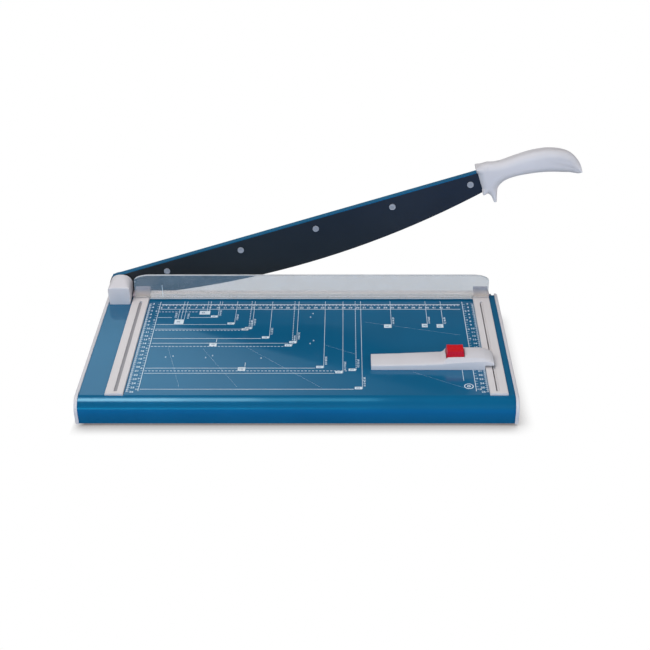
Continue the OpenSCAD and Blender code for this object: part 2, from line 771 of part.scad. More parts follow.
module press_strip() color(black_rubber) placed() {
    block([inner_left, bar_y0 + 0.6, table_z + press_open], [inner_right, bar_y1 - 0.4, bar_z0]);
}

// Front outline of the clear guard, with softly rounded top corners, made smaller by inset.
module shield_outline(inset) {
    x0 = shield_x0 + inset;
    x1 = shield_x1 - inset;
    corner = [24 - inset, 9 - inset];
    z = shield_z1 - 9;
    polygon([
        [x0, shield_z0],
        for (a = [180:-7.5:90]) [x0 + corner[0] * (1 + cos(a)), z + corner[1] * sin(a)],
        for (a = [90:-7.5:0]) [x1 - corner[0] * (1 - cos(a)), z + corner[1] * sin(a)],
        [x1, shield_z0]
    ]);
}

module guard_shield() color(clear_guard) placed() difference() {
    union() {
        along_y(shield_y0, shield_t) shield_outline(0);
        intersection() {
            along_y(shield_y0, lip_depth) difference() {
                shield_outline(0);
                shield_outline(lip_t);
            }
            block([shield_x0, shield_y0, shield_z1 - lip_drop], [shield_x1, 0, shield_z1]);
        }
        block([block_left[1] + 0.4, shield_y0 + 0.5, bar_z0 + 2],
              [block_right[0] - 0.4, bar_y0 + 1, bar_z0 + 4]);
    }
    block([shield_x0 - 1, shield_y0 - 1, shield_z0 - 1],
          [rail_left_x + rail_w + 0.4, bar_y0, block_z0]);
    block([rail_right_x - 0.4, shield_y0 - 1, shield_z0 - 1],
          [shield_x1 + 1, bar_y0, block_z0]);
}

// Guide block that carries one end of the press bar and slides on its post.
module guide_block(span, post_x, top_span, screw_x) {
    color(light_grey) placed() difference() {
        intersection() {
            along_x(span[0], span[1] - span[0]) polygon([
                [block_y[1], block_z0], [block_y[1], block_z1 - block_fall],
                [block_y[0] + 1, block_z1], [block_y[0], block_z1 - 1], [block_y[0], block_z0]
            ]);
            along_y(block_y[0] - 1, 30) polygon([
                [span[0], block_z0], [span[0], block_z0 + 3], [top_span[0], block_z0 + 9],
                [top_span[0], block_z1], [top_span[1], block_z1], [top_span[1], block_z0 + 9],
                [span[1], block_z0 + 3], [span[1], block_z0]
            ]);
        }
        translate([post_x, post_y, block_z0 - 1]) cylinder(r = post_r + touch, h = 30);
        translate([post_x, post_y, block_z0 - 1])
            cylinder(r = spring_room_r, h = spring_top - block_z0 + 1);
        translate([post_x, post_y, head_seat_z]) cylinder(r = 5, h = 12);
        pocket_x = span[0] < 0 ? [span[1] - arm_reach - 0.1, span[1] + 1]
                               : [span[0] - 1, span[0] + arm_reach - 0.9];
        block([pocket_x[0], tongue_y0 - 0.1, block_z0 - 1],
              [pocket_x[1], bar_y1 + 0.1, bar_z1 + 0.1]);
        translate([screw_x, post_y, block_z0]) cylinder(r = 1.6, h = 30);
        translate([screw_x, post_y, screw_seat_z]) cylinder(r = 2.6, h = 10);
    }
}

module left_guide_block() guide_block(block_left, post_left_x, [-20, 0], block_screw_x[0]);

module right_guide_block() {
    guide_block(block_right, post_right_x, [block_right[0], 488], block_screw_x[1]);
}

module block_screws() color(steel) placed() {
    for (x = block_screw_x)
        translate([x, post_y, screw_seat_z]) cap_screw(1.25, 2.4, 1.8, screw_seat_z - bar_z1 + 3.5);
}

// Guide post: screwed into the rear beam, with a head that stops the block from rising.
module guide_post(x) {
    head_z = head_seat_z + touch;
    color(steel) placed() translate([x, post_y, 0]) difference() {
        union() {
            translate([0, 0, table_z - 16]) cylinder(r = post_r, h = head_z + 0.5 - table_z + 16);
            translate([0, 0, head_z]) cylinder(r = 4.65, h = 2.8);
        }
        translate([0, 0, head_z + 2.8]) hex_socket(4, 1.8);
    }
}

module left_guide_post() guide_post(post_left_x);

module right_guide_post() guide_post(post_right_x);

module press_spring(x) {
    z0 = table_z + rail_h;
    color(steel) placed() translate([x, post_y, z0]) coil_spring(press_coil_r, 0.42, spring_top - z0, 4);
}

module left_press_spring() press_spring(post_left_x);

module right_press_spring() press_spring(post_right_x);

// ---------- back stop, on the right rail ----------

stop_x0 = 316.8;
stop_x1 = 479;
step_x = 413;                  // where the raised part of the back stop begins
stop_face = -stop_y;
stop_back = -stop_y - stop_depth;
stop_z0 = table_z + 0.1;
stop_wall = 2;
over_rail_x = rail_right_x - 0.6;
over_rail_z = table_z + 6.8;
raised_z = table_z + 18.1;
pin_x = 455;
pin_z = table_z + 10.5;
pin_r = 1.5;
button_x = [416, 440];
button_y = [stop_back + 7.2, stop_face - 2.3];
button_top = table_z + 24;
button_draft = 1.4;            // how far the button's sides lean in towards its top
shoe_x = [473, 478.8];
shoe_mid = (shoe_x[0] + shoe_x[1]) / 2;
shoe_y = [stop_back + 6.3, stop_face - 2.3];
stud_r = slot_w / 2 - 0.15;
stud_y = [shoe_y[0] + 4, shoe_y[1] - 4];
shoe_screw_y = (shoe_y[0] + shoe_y[1]) / 2;
lever_z0 = table_z + 8.4;
lever_z1 = lever_z0 + 2.4;
lever_y = [stop_back + 7, stop_face - 7];
pad_x = [468.8, 471.8];        // brake pad, over the inner edge of the rail
spring_x = 428;
spring_seat_z = table_z + 2.6;

// Side view of the back stop in X-Z: thin tapered beam, then the raised head.
module stop_side(inset) {
    polygon([
        [stop_x0 + inset, stop_z0 - (inset > 0 ? 1 : 0)], [stop_x0 + inset, table_z + 7 - inset],
        [step_x - 1 + inset, table_z + 11 - inset], [step_x + 4 + inset, raised_z - inset],
        [stop_x1 - inset, raised_z - inset],
        [stop_x1 - inset, over_rail_z - (inset > 0 ? 1 : 0)],
        [over_rail_x, over_rail_z - (inset > 0 ? 1 : 0)],
        [over_rail_x, stop_z0 - (inset > 0 ? 1 : 0)]
    ]);
}

module backstop_body() color(light_grey) placed() difference() {
    union() {
        difference() {
            along_y(stop_back, stop_depth) stop_side(0);
            along_y(stop_back + stop_wall, stop_depth - 2 * stop_wall) stop_side(stop_wall);
        }
        block([spring_x - 6, stop_back + 1, stop_z0], [spring_x + 6, stop_face - 1, spring_seat_z]);
        for (y = [stop_back + 1, stop_face - 4.8])
            block([pin_x - 4, y, table_z + 6], [pin_x + 4, y + 3.8, raised_z - 1]);
        block([shoe_x[0], stop_back + 1, over_rail_z],
              [stop_x1 - 1, stop_face - 1, over_rail_z + 2.5]);
    }
    block([button_x[0] - 0.5, button_y[0] - 0.3, table_z + 9],
          [button_x[1] + 0.4, button_y[1] + 0.3, raised_z + 5]);
    rod_y(pin_x, pin_z, stop_back + 1, stop_face - 1, pin_r + touch);
    translate([shoe_mid, shoe_screw_y, over_rail_z - 1]) cylinder(r = 1.1, h = 8);
    // soft upper front edge of the raised head
    translate([0, stop_back, raised_z - 4]) rotate([-42, 0, 0])
        block([step_x + 2, -6, 0], [stop_x1 + 1, 0, 9]);
}

module slide_shoe() color(dark_steel) placed() difference() {
    block([shoe_x[0], shoe_y[0], table_z + rail_h + touch], [shoe_x[1], shoe_y[1], over_rail_z]);
    for (y = stud_y)
        translate([slot_x, y, table_z]) cylinder(r = stud_r + 0.02, h = 10);
    translate([shoe_mid, shoe_screw_y, table_z]) cylinder(r = 1.3, h = 10);
    translate([shoe_mid, shoe_screw_y, table_z]) cylinder(r = 2.2, h = rail_h + 1.6);
}

module shoe_screws() color(steel) placed() {
    translate([shoe_mid, shoe_screw_y, table_z + rail_h + 1.6])
        rotate([180, 0, 0]) cap_screw(1, 2, 1.4, 4.4);
}

// Two headed studs that run in the rail's slot and hold the back stop down.
module slide_studs() color(steel) placed() {
    head_z = head_room_z + 0.8;
    for (y = stud_y)
        translate([slot_x, y, 0]) {
            translate([0, 0, head_z]) cylinder(r = 3.1, h = 2.2);
            translate([0, 0, head_z]) cylinder(r = stud_r, h = over_rail_z - 0.4 - head_z);
        }
}

module lever_pin() color(steel) placed() {
    rod_y(pin_x, pin_z, stop_back + 1.1, stop_face - 1.1, pin_r);
}

module button_spring() color(steel) placed() {
    translate([spring_x, (button_y[0] + button_y[1]) / 2, spring_seat_z])
        coil_spring(3.2, 0.35, lever_z0 - spring_seat_z, 5);
}

module clamp_lever() color(steel) placed() difference() {
    union() {
        block([button_x[0] + 3, lever_y[0], lever_z0], [472.4, lever_y[1], lever_z1]);
        rod_y(pin_x, pin_z, lever_y[0], lever_y[1], 3.2);
    }
    rod_y(pin_x, pin_z, lever_y[0] - 1, lever_y[1] + 1, pin_r + touch);
}

// Button cap with leaning sides and a slightly dished top.
module red_button() color(button_red) placed() difference() {
    cap_z0 = lever_z1 + 3;
    union() {
        intersection() {
            along_y(button_y[0], button_y[1] - button_y[0]) polygon([
                [button_x[0], cap_z0], [button_x[1], cap_z0],
                [button_x[1] - button_draft, button_top], [button_x[0] + button_draft, button_top]
            ]);
            along_x(button_x[0], button_x[1] - button_x[0]) polygon([
                [button_y[0], cap_z0], [button_y[1], cap_z0],
                [button_y[1] - 0.4, button_top], [button_y[0] + button_draft, button_top]
            ]);
        }
        block([button_x[0] + 3, lever_y[0], lever_z1], [button_x[1] - 2, lever_y[1], lever_z1 + 4]);
    }
    rod_y((button_x[0] + button_x[1]) / 2, button_top + 98.6, button_y[0] - 1, button_y[1] + 1, 99.6);
}

module brake_pad() color(black_rubber) placed() {
    block([pad_x[0], lever_y[0], table_z + rail_h + 0.02], [pad_x[1], lever_y[1], lever_z0]);
}

table_top();
left_cheek();
right_cheek();
cheek_screws();
rear_beam();
front_beam();
left_cross_member();
right_cross_member();
frame_screws();
foot_front_left();
foot_front_right();
foot_rear_left();
foot_rear_right();
foot_screws();
counter_blade();
counter_blade_screws();
left_rail();
right_rail();
rail_screws();
pivot_bracket();
bracket_screws();
pivot_bolt();
friction_washer();
disc_springs();
nut_washer();
pivot_nut();
pivot_cover();
cover_screws();
left_guide_post();
right_guide_post();
left_press_spring();
right_press_spring();
arm_bar();
pivot_bush();
upper_blade();
blade_screws();
handle_front_shell();
handle_rear_shell();
handle_screws();
press_bar();
press_strip();
guard_shield();
left_guide_block();
right_guide_block();
block_screws();
backstop_body();
slide_shoe();
shoe_screws();
slide_studs();
lever_pin();
button_spring();
clamp_lever();
red_button();
brake_pad();
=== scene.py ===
"""Guillotine paper cutter: bespoke pieces, materials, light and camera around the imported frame."""
import json
import math

import bmesh
import bpy
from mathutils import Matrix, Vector


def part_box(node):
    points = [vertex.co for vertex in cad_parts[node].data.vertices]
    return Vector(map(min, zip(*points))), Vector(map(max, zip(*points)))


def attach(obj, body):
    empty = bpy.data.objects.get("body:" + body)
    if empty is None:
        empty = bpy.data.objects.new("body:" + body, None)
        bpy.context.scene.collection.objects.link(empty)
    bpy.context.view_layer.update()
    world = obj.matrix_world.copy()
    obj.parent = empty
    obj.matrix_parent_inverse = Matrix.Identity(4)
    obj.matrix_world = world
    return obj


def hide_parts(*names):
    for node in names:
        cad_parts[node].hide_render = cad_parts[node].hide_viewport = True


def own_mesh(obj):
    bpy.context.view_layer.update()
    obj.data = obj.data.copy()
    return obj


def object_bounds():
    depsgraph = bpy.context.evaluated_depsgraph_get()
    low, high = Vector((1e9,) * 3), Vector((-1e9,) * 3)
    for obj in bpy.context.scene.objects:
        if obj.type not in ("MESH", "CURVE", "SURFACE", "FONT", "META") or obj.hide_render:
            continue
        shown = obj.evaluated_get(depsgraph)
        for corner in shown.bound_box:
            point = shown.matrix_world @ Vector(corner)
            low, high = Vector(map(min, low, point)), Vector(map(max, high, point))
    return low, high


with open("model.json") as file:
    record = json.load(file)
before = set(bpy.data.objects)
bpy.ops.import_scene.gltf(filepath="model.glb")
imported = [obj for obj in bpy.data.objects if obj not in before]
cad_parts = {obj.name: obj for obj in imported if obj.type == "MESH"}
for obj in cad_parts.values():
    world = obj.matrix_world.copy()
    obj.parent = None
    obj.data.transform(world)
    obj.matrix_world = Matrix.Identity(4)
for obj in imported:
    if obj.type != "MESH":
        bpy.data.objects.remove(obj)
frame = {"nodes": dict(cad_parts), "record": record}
cad_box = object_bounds()

MM = 0.001
INCH = 25.4
WELD = 1e-6                     # points closer than this, in metres, are one point
SHARP_DEG = 32                  # edges over this angle stay sharp in the shading
FLAT_DEG = 0.6                  # facets under this angle are joined
BEVEL_DEG = 35                  # edges over this angle are rounded
scene = bpy.context.scene
nodes = frame["nodes"]

# ---------------------------------------------------------------- reference places, from the frame

RAIL_STOP = 1.8 * MM            # the left stop line lies this far right of the left rail
rail_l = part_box("left_rail")
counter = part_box("counter_blade")
corner = Vector((rail_l[1].x + RAIL_STOP, counter[1].y, 0.0))
table_z = counter[1].z / MM
pivot = (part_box("pivot_bush")[0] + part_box("pivot_bush")[1]) / 2
screw_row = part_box("blade_screws")
screw_mid = (screw_row[0] + screw_row[1]) / 2
arm_angle = math.atan2(screw_mid.z - pivot.z, screw_mid.x - pivot.x)


def at(x, y, z):
    """A place in mm from the corner of cutting line and left stop, in the row frame."""
    return corner + Vector((x, y, z)) * MM


def on_arm(s, y, t):
    """A place in mm along and square to the arm, in the row frame."""
    c, k = math.cos(arm_angle), math.sin(arm_angle)
    return Vector((pivot.x + (s * c - t * k) * MM, corner.y + y * MM, pivot.z + (s * k + t * c) * MM))


# ---------------------------------------------------------------- node materials

class Net:
    """A short way to write a shader node tree."""

    def __init__(self, name):
        self.mat = bpy.data.materials.new(name)
        self.mat.use_nodes = True
        self.tree = self.mat.node_tree
        self.tree.nodes.clear()
        self.out = self.tree.nodes.new("ShaderNodeOutputMaterial")

    def add(self, kind, inputs=None, **props):
        node = self.tree.nodes.new("ShaderNode" + kind)
        for key, value in props.items():
            setattr(node, key, value)
        for key, value in (inputs or {}).items():
            self.put(node.inputs[key], value)
        return node

    def put(self, socket, value):
        if isinstance(value, bpy.types.NodeSocket):
            self.tree.links.new(value, socket)
        else:
            socket.default_value = value

    def done(self, shader):
        self.tree.links.new(shader, self.out.inputs["Surface"])
        return self.mat


def rgb(r, g, b):
    """An 8-bit sRGB colour as linear RGBA."""
    def lin(v):
        v /= 255
        return v / 12.92 if v <= 0.04045 else ((v + 0.055) / 1.055) ** 2.4
    return (lin(r), lin(g), lin(b), 1.0)


def noise_at(net, scale, detail=3.0, stretch=(1, 1, 1)):
    """Noise fixed to the object, of scale features per metre."""
    place = net.add("TexCoord").outputs["Object"]
    spread = net.add("Mapping", {"Vector": place, "Scale": stretch})
    return net.add("TexNoise", {
        "Vector": spread.outputs["Vector"], "Scale": scale, "Detail": detail,
    }).outputs["Fac"]


NOISE_LOW, NOISE_HIGH = 0.3, 0.7    # most of a noise's values lie between these


def ramp(net, fac, low, high, start=NOISE_LOW, end=NOISE_HIGH):
    """A colour that goes from low to high as fac goes from start to end."""
    node = net.add("ValToRGB", {"Fac": fac})
    stops = node.color_ramp.elements
    stops[0].position, stops[1].position = start, end
    stops[0].color, stops[1].color = low, high
    return node.outputs["Color"]


def span(net, fac, low, high, start=NOISE_LOW, end=NOISE_HIGH):
    """A value that goes from low to high as fac goes from start to end."""
    return net.add("MapRange", {
        "Value": fac, "From Min": start, "From Max": end, "To Min": low, "To Max": high,
    }).outputs["Result"]


def object_height(net):
    return net.add("SeparateXYZ", {0: net.add("TexCoord").outputs["Object"]}).outputs["Z"]


GROOVE_BLEND = 0.4 * MM         # height over which the painted shade on a groove's floor sets in
EDGE_WEAR = 0.6 * MM            # width of a worn edge
GRAIN_DEPTH = 0.4 * MM


def coated(name, low, high, rough, grain=900, bump=0.02, stretch=(1, 1, 1), patch=9,
           metal=0.0, coat=0.0, coat_rough=0.12, spec=0.5, edge=None, groove=None):
    """A solid finish: slow colour drift, fine grain in the bump, and grain in the roughness.

    edge is the colour of worn edges; groove is a height and the colour of flat floors below it,
    painted shade in the groove.
    """
    net = Net(name)
    drift = noise_at(net, patch, 4)
    fine = noise_at(net, grain, 3, stretch)
    colour = ramp(net, drift, low, high)
    if edge:
        worn = net.add("Bevel", {"Radius": EDGE_WEAR}, samples=4).outputs["Normal"]
        face = net.add("NewGeometry").outputs["Normal"]
        turn = net.add("VectorMath", {0: worn, 1: face}, operation="DOT_PRODUCT").outputs["Value"]
        mask = span(net, turn, 1.0, 0.0, 0.75, 0.98)
        broken = net.add("Math", {0: mask, 1: span(net, noise_at(net, 160, 4), 0.1, 1.0)},
                         operation="MULTIPLY").outputs["Value"]
        worn_in = net.add("MixRGB", {"Fac": broken, "Color1": colour, "Color2": edge})
        colour = worn_in.outputs["Color"]
    if groove:
        # painted shade: flat floors below the groove's level take the darker colour
        level, dark = groove
        true_normal = net.add("NewGeometry").outputs["True Normal"]
        facing = net.add("SeparateXYZ", {0: true_normal}).outputs["Z"]
        groove_shade = net.add("Math", {
            0: span(net, object_height(net), 1.0, 0.0, level - GROOVE_BLEND, level),
            1: span(net, facing, 0.0, 1.0, 0.8, 0.9),
        }, operation="MULTIPLY").outputs["Value"]
        colour = net.add("MixRGB", {"Fac": groove_shade, "Color1": colour, "Color2": dark}).outputs["Color"]
    relief = net.add("Bump", {"Strength": bump, "Distance": GRAIN_DEPTH, "Height": fine})
    shader = net.add("BsdfPrincipled", {
        "Base Color": colour, "Roughness": span(net, fine, rough[0], rough[1]),
        "Metallic": metal, "Normal": relief.outputs["Normal"], "Coat Weight": coat,
        "Coat Roughness": coat_rough, "Specular IOR Level": spec,
    })
    return net.done(shader.outputs["BSDF"])


VEIL = (8.5 * MM, 15.5 * MM)    # the haze is palest below the first height above the sheet's foot, painted light over the press bar behind
RIM = (0.6 * MM, 1.7 * MM)      # the lower rim gets a painted highlight below the first height


def clear_plastic(name, foot_z):
    """Smoked clear sheet with a faint haze, painted paler and warmer near its foot as light over the
    press bar behind it; its cut edges and lower rim get a painted highlight.
    """
    net = Net(name)
    dust = noise_at(net, 60, 5)
    through = net.add("BsdfTransparent", {"Color": (0.655, 0.645, 0.635, 1)}).outputs["BSDF"]
    height = object_height(net)
    # painted light: low on the sheet the haze turns pale and warm
    haze_and_painted_light = net.add("MixRGB", {
        "Fac": span(net, height, 1.0, 0.0, foot_z + VEIL[0], foot_z + VEIL[1]),
        "Color1": ramp(net, dust, rgb(72, 86, 96), rgb(82, 97, 108)), "Color2": rgb(124, 119, 110),
    }).outputs["Color"]
    haze = net.add("BsdfPrincipled", {
        "Base Color": haze_and_painted_light,
        "Roughness": span(net, dust, 0.14, 0.22), "Specular IOR Level": 0.3,
    }).outputs["BSDF"]
    pane = net.add("AddShader", {0: through, 1: haze}).outputs["Shader"]
    # painted highlight: a pale colour on the cut edges and the lower rim
    rim = net.add("BsdfPrincipled", {
        "Base Color": ramp(net, dust, rgb(186, 190, 194), rgb(202, 206, 210)),
        "Roughness": span(net, dust, 0.25, 0.35),
    }).outputs["BSDF"]
    facing = net.add("SeparateXYZ", {0: net.add("NewGeometry").outputs["True Normal"]}).outputs["Y"]
    side = net.add("Math", {0: facing}, operation="ABSOLUTE").outputs["Value"]
    cut = span(net, side, 1.0, 0.0, 0.3, 0.9)
    foot = span(net, height, 0.85, 0.0, foot_z + RIM[0], foot_z + RIM[1])
    bright = net.add("Math", {0: cut, 1: foot}, operation="MAXIMUM").outputs["Value"]
    seen = net.add("MixShader", {0: bright, 1: pane, 2: rim}).outputs["Shader"]
    ray = net.add("LightPath")
    soft = net.add("Math", {0: ray.outputs["Is Shadow Ray"], 1: ray.outputs["Is Diffuse Ray"]},
                   operation="MAXIMUM").outputs["Value"]
    faint = net.add("BsdfTransparent", {"Color": (0.97, 0.97, 0.97, 1)}).outputs["BSDF"]
    return net.done(net.add("MixShader", {0: soft, 1: seen, 2: faint}).outputs["Shader"])


RAIL_FINISH = {
    "low": rgb(207, 203, 203), "high": rgb(214, 210, 210), "rough": (0.38, 0.5), "grain": 900,
    "bump": 0.08, "stretch": (1, 0.06, 1), "spec": 0.4,
}
paint = {
    "table_blue": coated("powder_blue", rgb(5, 86, 124), rgb(7, 92, 131), (0.30, 0.38), grain=900,
                         bump=0.05, coat=0.85, coat_rough=0.11, spec=0.08),
    "grey_plastic": coated("moulded_grey", rgb(199, 197, 200), rgb(206, 204, 207), (0.42, 0.52),
                           grain=1500, bump=0.12, patch=14, spec=0.4),
    "rail_grey": coated("rail_coat", **RAIL_FINISH),
    "bare_aluminium": coated("mill_aluminium", rgb(176, 178, 181), rgb(196, 198, 200), (0.3, 0.45),
                             grain=600, bump=0.1, stretch=(0.05, 1, 1), metal=1.0),
    "ground_steel": coated("ground_steel", rgb(150, 154, 160), rgb(182, 186, 190), (0.22, 0.38),
                           grain=900, bump=0.1, stretch=(1, 1, 0.05), metal=1.0),
    "fastener_steel": coated("zinc_plate", rgb(166, 172, 180), rgb(196, 200, 206), (0.25, 0.4),
                             grain=1200, bump=0.08, metal=0.6),
    "blade_black": coated("blade_coat", rgb(33, 37, 40), rgb(39, 43, 46), (0.34, 0.5), grain=1200,
                          bump=0.06, stretch=(0.08, 1, 1), spec=0.3, edge=rgb(96, 102, 110)),
    "bronze": coated("bearing_bronze", rgb(150, 112, 60), rgb(176, 136, 80), (0.3, 0.45), metal=1.0),
    "spring_steel": coated("spring_wire", rgb(140, 145, 150), rgb(176, 180, 184), (0.25, 0.4),
                           metal=1.0),
    "rubber": coated("rubber", rgb(28, 28, 30), rgb(38, 38, 41), (0.75, 0.9), grain=1800, bump=0.2),
    "button_red": coated("gloss_red", rgb(190, 10, 20), rgb(202, 14, 26), (0.25, 0.34), grain=1500,
                         bump=0.03, coat=0.2, spec=0.3),
    "shoe_plastic": coated("dark_plastic", rgb(34, 34, 37), rgb(46, 46, 50), (0.5, 0.65), bump=0.1),
    "clear_guard": clear_plastic("clear_sheet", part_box("guard_shield")[0].z),
}
press_paint = coated("press_coat", rgb(248, 240, 240), rgb(252, 246, 246), (0.4, 0.5), grain=900,
                     bump=0.06, stretch=(0.06, 1, 1), spec=0.4)
# guide blocks: a mauve grey darker than the other grey plastic; the darkness is painted shade for
# their shaded fronts
shaded_block_paint = coated("block_grey_painted_shade", rgb(172, 156, 158), rgb(182, 166, 168), (0.4, 0.5), grain=1500,
                     bump=0.1, spec=0.4)
screw_paint = coated("screw_grey", rgb(146, 150, 158), rgb(160, 164, 172), (0.4, 0.5), grain=1200,
                     bump=0.08, spec=0.2)
# the left rail's groove floors get painted shade in a darker grey
rail_paint = coated("left_rail_coat", **RAIL_FINISH,
                    groove=(rail_l[1].z - GROOVE_BLEND, rgb(148, 146, 149)))
ink_white = coated("print_ink", rgb(205, 218, 226), rgb(222, 232, 238), (0.4, 0.55), grain=1500,
                   bump=0.05, patch=60)
ink_blue = coated("print_ground", rgb(40, 96, 138), rgb(52, 110, 150), (0.4, 0.55), grain=1500,
                  bump=0.05, patch=60)


# ---------------------------------------------------------------- finishing of CAD nodes

def smoothing_group():
    """Geometry nodes that smooth a welded mesh, but keep its sharp edges."""
    group = bpy.data.node_groups.new("smooth_by_angle", "GeometryNodeTree")
    group.interface.new_socket("Geometry", in_out="INPUT", socket_type="NodeSocketGeometry")
    group.interface.new_socket("Geometry", in_out="OUTPUT", socket_type="NodeSocketGeometry")
    add = group.nodes.new
    source, sink = add("NodeGroupInput"), add("NodeGroupOutput")
    faces, edges = add("GeometryNodeSetShadeSmooth"), add("GeometryNodeSetShadeSmooth")
    angle, compare = add("GeometryNodeInputMeshEdgeAngle"), add("FunctionNodeCompare")
    faces.domain, edges.domain = "FACE", "EDGE"
    compare.data_type, compare.operation = "FLOAT", "GREATER_THAN"
    compare.inputs[1].default_value = math.radians(SHARP_DEG)
    edges.inputs["Shade Smooth"].default_value = False
    link = group.links.new
    link(source.outputs[0], faces.inputs["Geometry"])
    link(faces.outputs["Geometry"], edges.inputs["Geometry"])
    link(angle.outputs["Unsigned Angle"], compare.inputs[0])
    link(compare.outputs["Result"], edges.inputs["Selection"])
    link(edges.outputs["Geometry"], sink.inputs[0])
    return group


shade_group = smoothing_group()


def shade(obj):
    """Smooth shading with sharp edges kept."""
    mod = obj.modifiers.new("shade", "NODES")
    mod.node_group = shade_group


def level_flats(obj):
    """Keeps large flat faces flat where they meet a rounded edge."""
    mod = obj.modifiers.new("flats", "WEIGHTED_NORMAL")
    mod.keep_sharp = True


def weld(obj):
    """Joins the points that an imported mesh repeats at its edges."""
    obj.modifiers.new("weld", "WELD").merge_threshold = WELD


def soften(obj, width):
    """Rounds an object's edges by width in mm, after joining its flat facets."""
    weld(obj)
    flat = obj.modifiers.new("flat", "DECIMATE")
    flat.decimate_type = "DISSOLVE"
    flat.angle_limit = math.radians(FLAT_DEG)
    if width:
        bevel = obj.modifiers.new("bevel", "BEVEL")
        bevel.width = width * MM
        bevel.segments = 2
        bevel.limit_method = "ANGLE"
        bevel.angle_limit = math.radians(BEVEL_DEG)
        bevel.use_clamp_overlap = True
    shade(obj)
    level_flats(obj)


def coat(obj, mat):
    """Gives an object one material."""
    obj.data.materials.clear()
    obj.data.materials.append(mat)


soft_edges = {
    "table_top": 0.3, "left_rail": 0.25, "right_rail": 0.25, "left_cheek": 0.9, "right_cheek": 0.9,
    "arm_bar": 0.4, "press_bar": 0.4, "left_guide_block": 0.7, "right_guide_block": 0.7,
    "counter_blade": 0.15, "rear_beam": 0.5, "front_beam": 0.5, "blade_screws": 0.25,
    "guard_shield": 0.35, "red_button": 1.4, "pivot_cover": 0.6, "pivot_bracket": 0.4,
    "foot_front_left": 0.5, "foot_front_right": 0.5, "foot_rear_left": 0.5, "foot_rear_right": 0.5,
    "handle_screws": 0.2, "cheek_screws": 0.15,
}
for part in frame["record"]["subparts"]:
    cad = nodes[part["node"]]
    coat(cad, paint[part["material_slot"]])
    soften(cad, soft_edges.get(part["node"], 0.0))
coat(nodes["press_bar"], press_paint)
coat(nodes["left_rail"], rail_paint)
coat(nodes["blade_screws"], screw_paint)
coat(nodes["left_guide_block"], shaded_block_paint)
coat(nodes["right_guide_block"], shaded_block_paint)


# ---------------------------------------------------------------- mesh helpers

def mesh_piece(name, points, faces, mat, body, stands_for=None):
    """A new piece from row-frame points and faces. stands_for names the grey CAD node it replaces."""
    mesh = bpy.data.meshes.new(name)
    mesh.from_pydata([tuple(p) for p in points], [], faces)
    bm = bmesh.new()
    bm.from_mesh(mesh)
    bmesh.ops.recalc_face_normals(bm, faces=bm.faces)
    bm.to_mesh(mesh)
    bm.free()
    obj = bpy.data.objects.new(name, mesh)
    scene.collection.objects.link(obj)
    obj.data.materials.append(mat)
    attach(obj, body)
    if stands_for:
        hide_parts(stands_for)
    return obj


def bake(obj):
    """Applies an object's modifiers to its mesh."""
    bpy.context.view_layer.update()
    done = bpy.data.meshes.new_from_object(obj.evaluated_get(bpy.context.evaluated_depsgraph_get()))
    obj.modifiers.clear()
    obj.data = done


def rings_to_faces(count, rings):
    """Side faces between rings of points, and a cap on the first and the last ring."""
    faces = []
    for k in range(rings - 1):
        for i in range(count):
            j = (i + 1) % count
            faces.append((k * count + i, k * count + j, (k + 1) * count + j, (k + 1) * count + i))
    return faces + [tuple(range(count)), tuple(range((rings - 1) * count, rings * count))]


def resample(path, step):
    """Evenly spaced points on a closed path."""
    closed = path + [path[0]]
    lengths = [math.dist(closed[i], closed[i + 1]) for i in range(len(path))]
    total = sum(lengths)
    count = round(total / step)
    out, seg, run = [], 0, 0.0
    for k in range(count):
        want = total * k / count
        while run + lengths[seg] < want:
            run += lengths[seg]
            seg += 1
        f = (want - run) / lengths[seg]
        a, b = closed[seg], closed[seg + 1]
        out.append((a[0] + (b[0] - a[0]) * f, a[1] + (b[1] - a[1]) * f))
    return out


def relax(path, rounds):
    """Rounds the corners of a closed path of points."""
    n = len(path)
    for _ in range(rounds):
        path = [((path[i - 1][0] + 2 * path[i][0] + path[(i + 1) % n][0]) / 4,
                 (path[i - 1][1] + 2 * path[i][1] + path[(i + 1) % n][1]) / 4) for i in range(n)]
    return path


def catmull(points, steps):
    """A smooth curve through points, with steps parts between each two."""
    out = []
    last = len(points) - 1
    for i in range(last):
        a, b, c, d = points[max(i - 1, 0)], points[i], points[i + 1], points[min(i + 2, last)]
        for k in range(steps):
            t = k / steps
            out.append(tuple(
                0.5 * (2 * b[j] + (c[j] - a[j]) * t + (2 * a[j] - 5 * b[j] + 4 * c[j] - d[j]) * t * t
                       + (3 * b[j] - a[j] - 3 * c[j] + d[j]) * t ** 3) for j in (0, 1)))
    out.append(points[last])
    return out


# ---------------------------------------------------------------- handle

def inward(path):
    """Inward unit normals of a closed path, and how far each can go before the path's middle line."""
    n = len(path)
    area = sum(path[i - 1][0] * path[i][1] - path[i][0] * path[i - 1][1] for i in range(n))
    side = 1 if area > 0 else -1
    normals = []
    for i in range(n):
        dx = path[(i + 1) % n][0] - path[i - 1][0]
        dy = path[(i + 1) % n][1] - path[i - 1][1]
        length = math.hypot(dx, dy)
        normals.append((-dy / length * side, dx / length * side))
    depth = []
    for i in range(n):
        best = 99.0
        for j in range(n):
            vx, vy = path[j][0] - path[i][0], path[j][1] - path[i][1]
            along = vx * normals[i][0] + vy * normals[i][1]
            if along > 1e-6:
                best = min(best, (vx * vx + vy * vy) / (2 * along))
        depth.append(best)
    for _ in range(6):
        depth = [min(depth[i], (depth[i - 1] + depth[i] + depth[(i + 1) % n]) / 3) for i in range(n)]
    return normals, depth


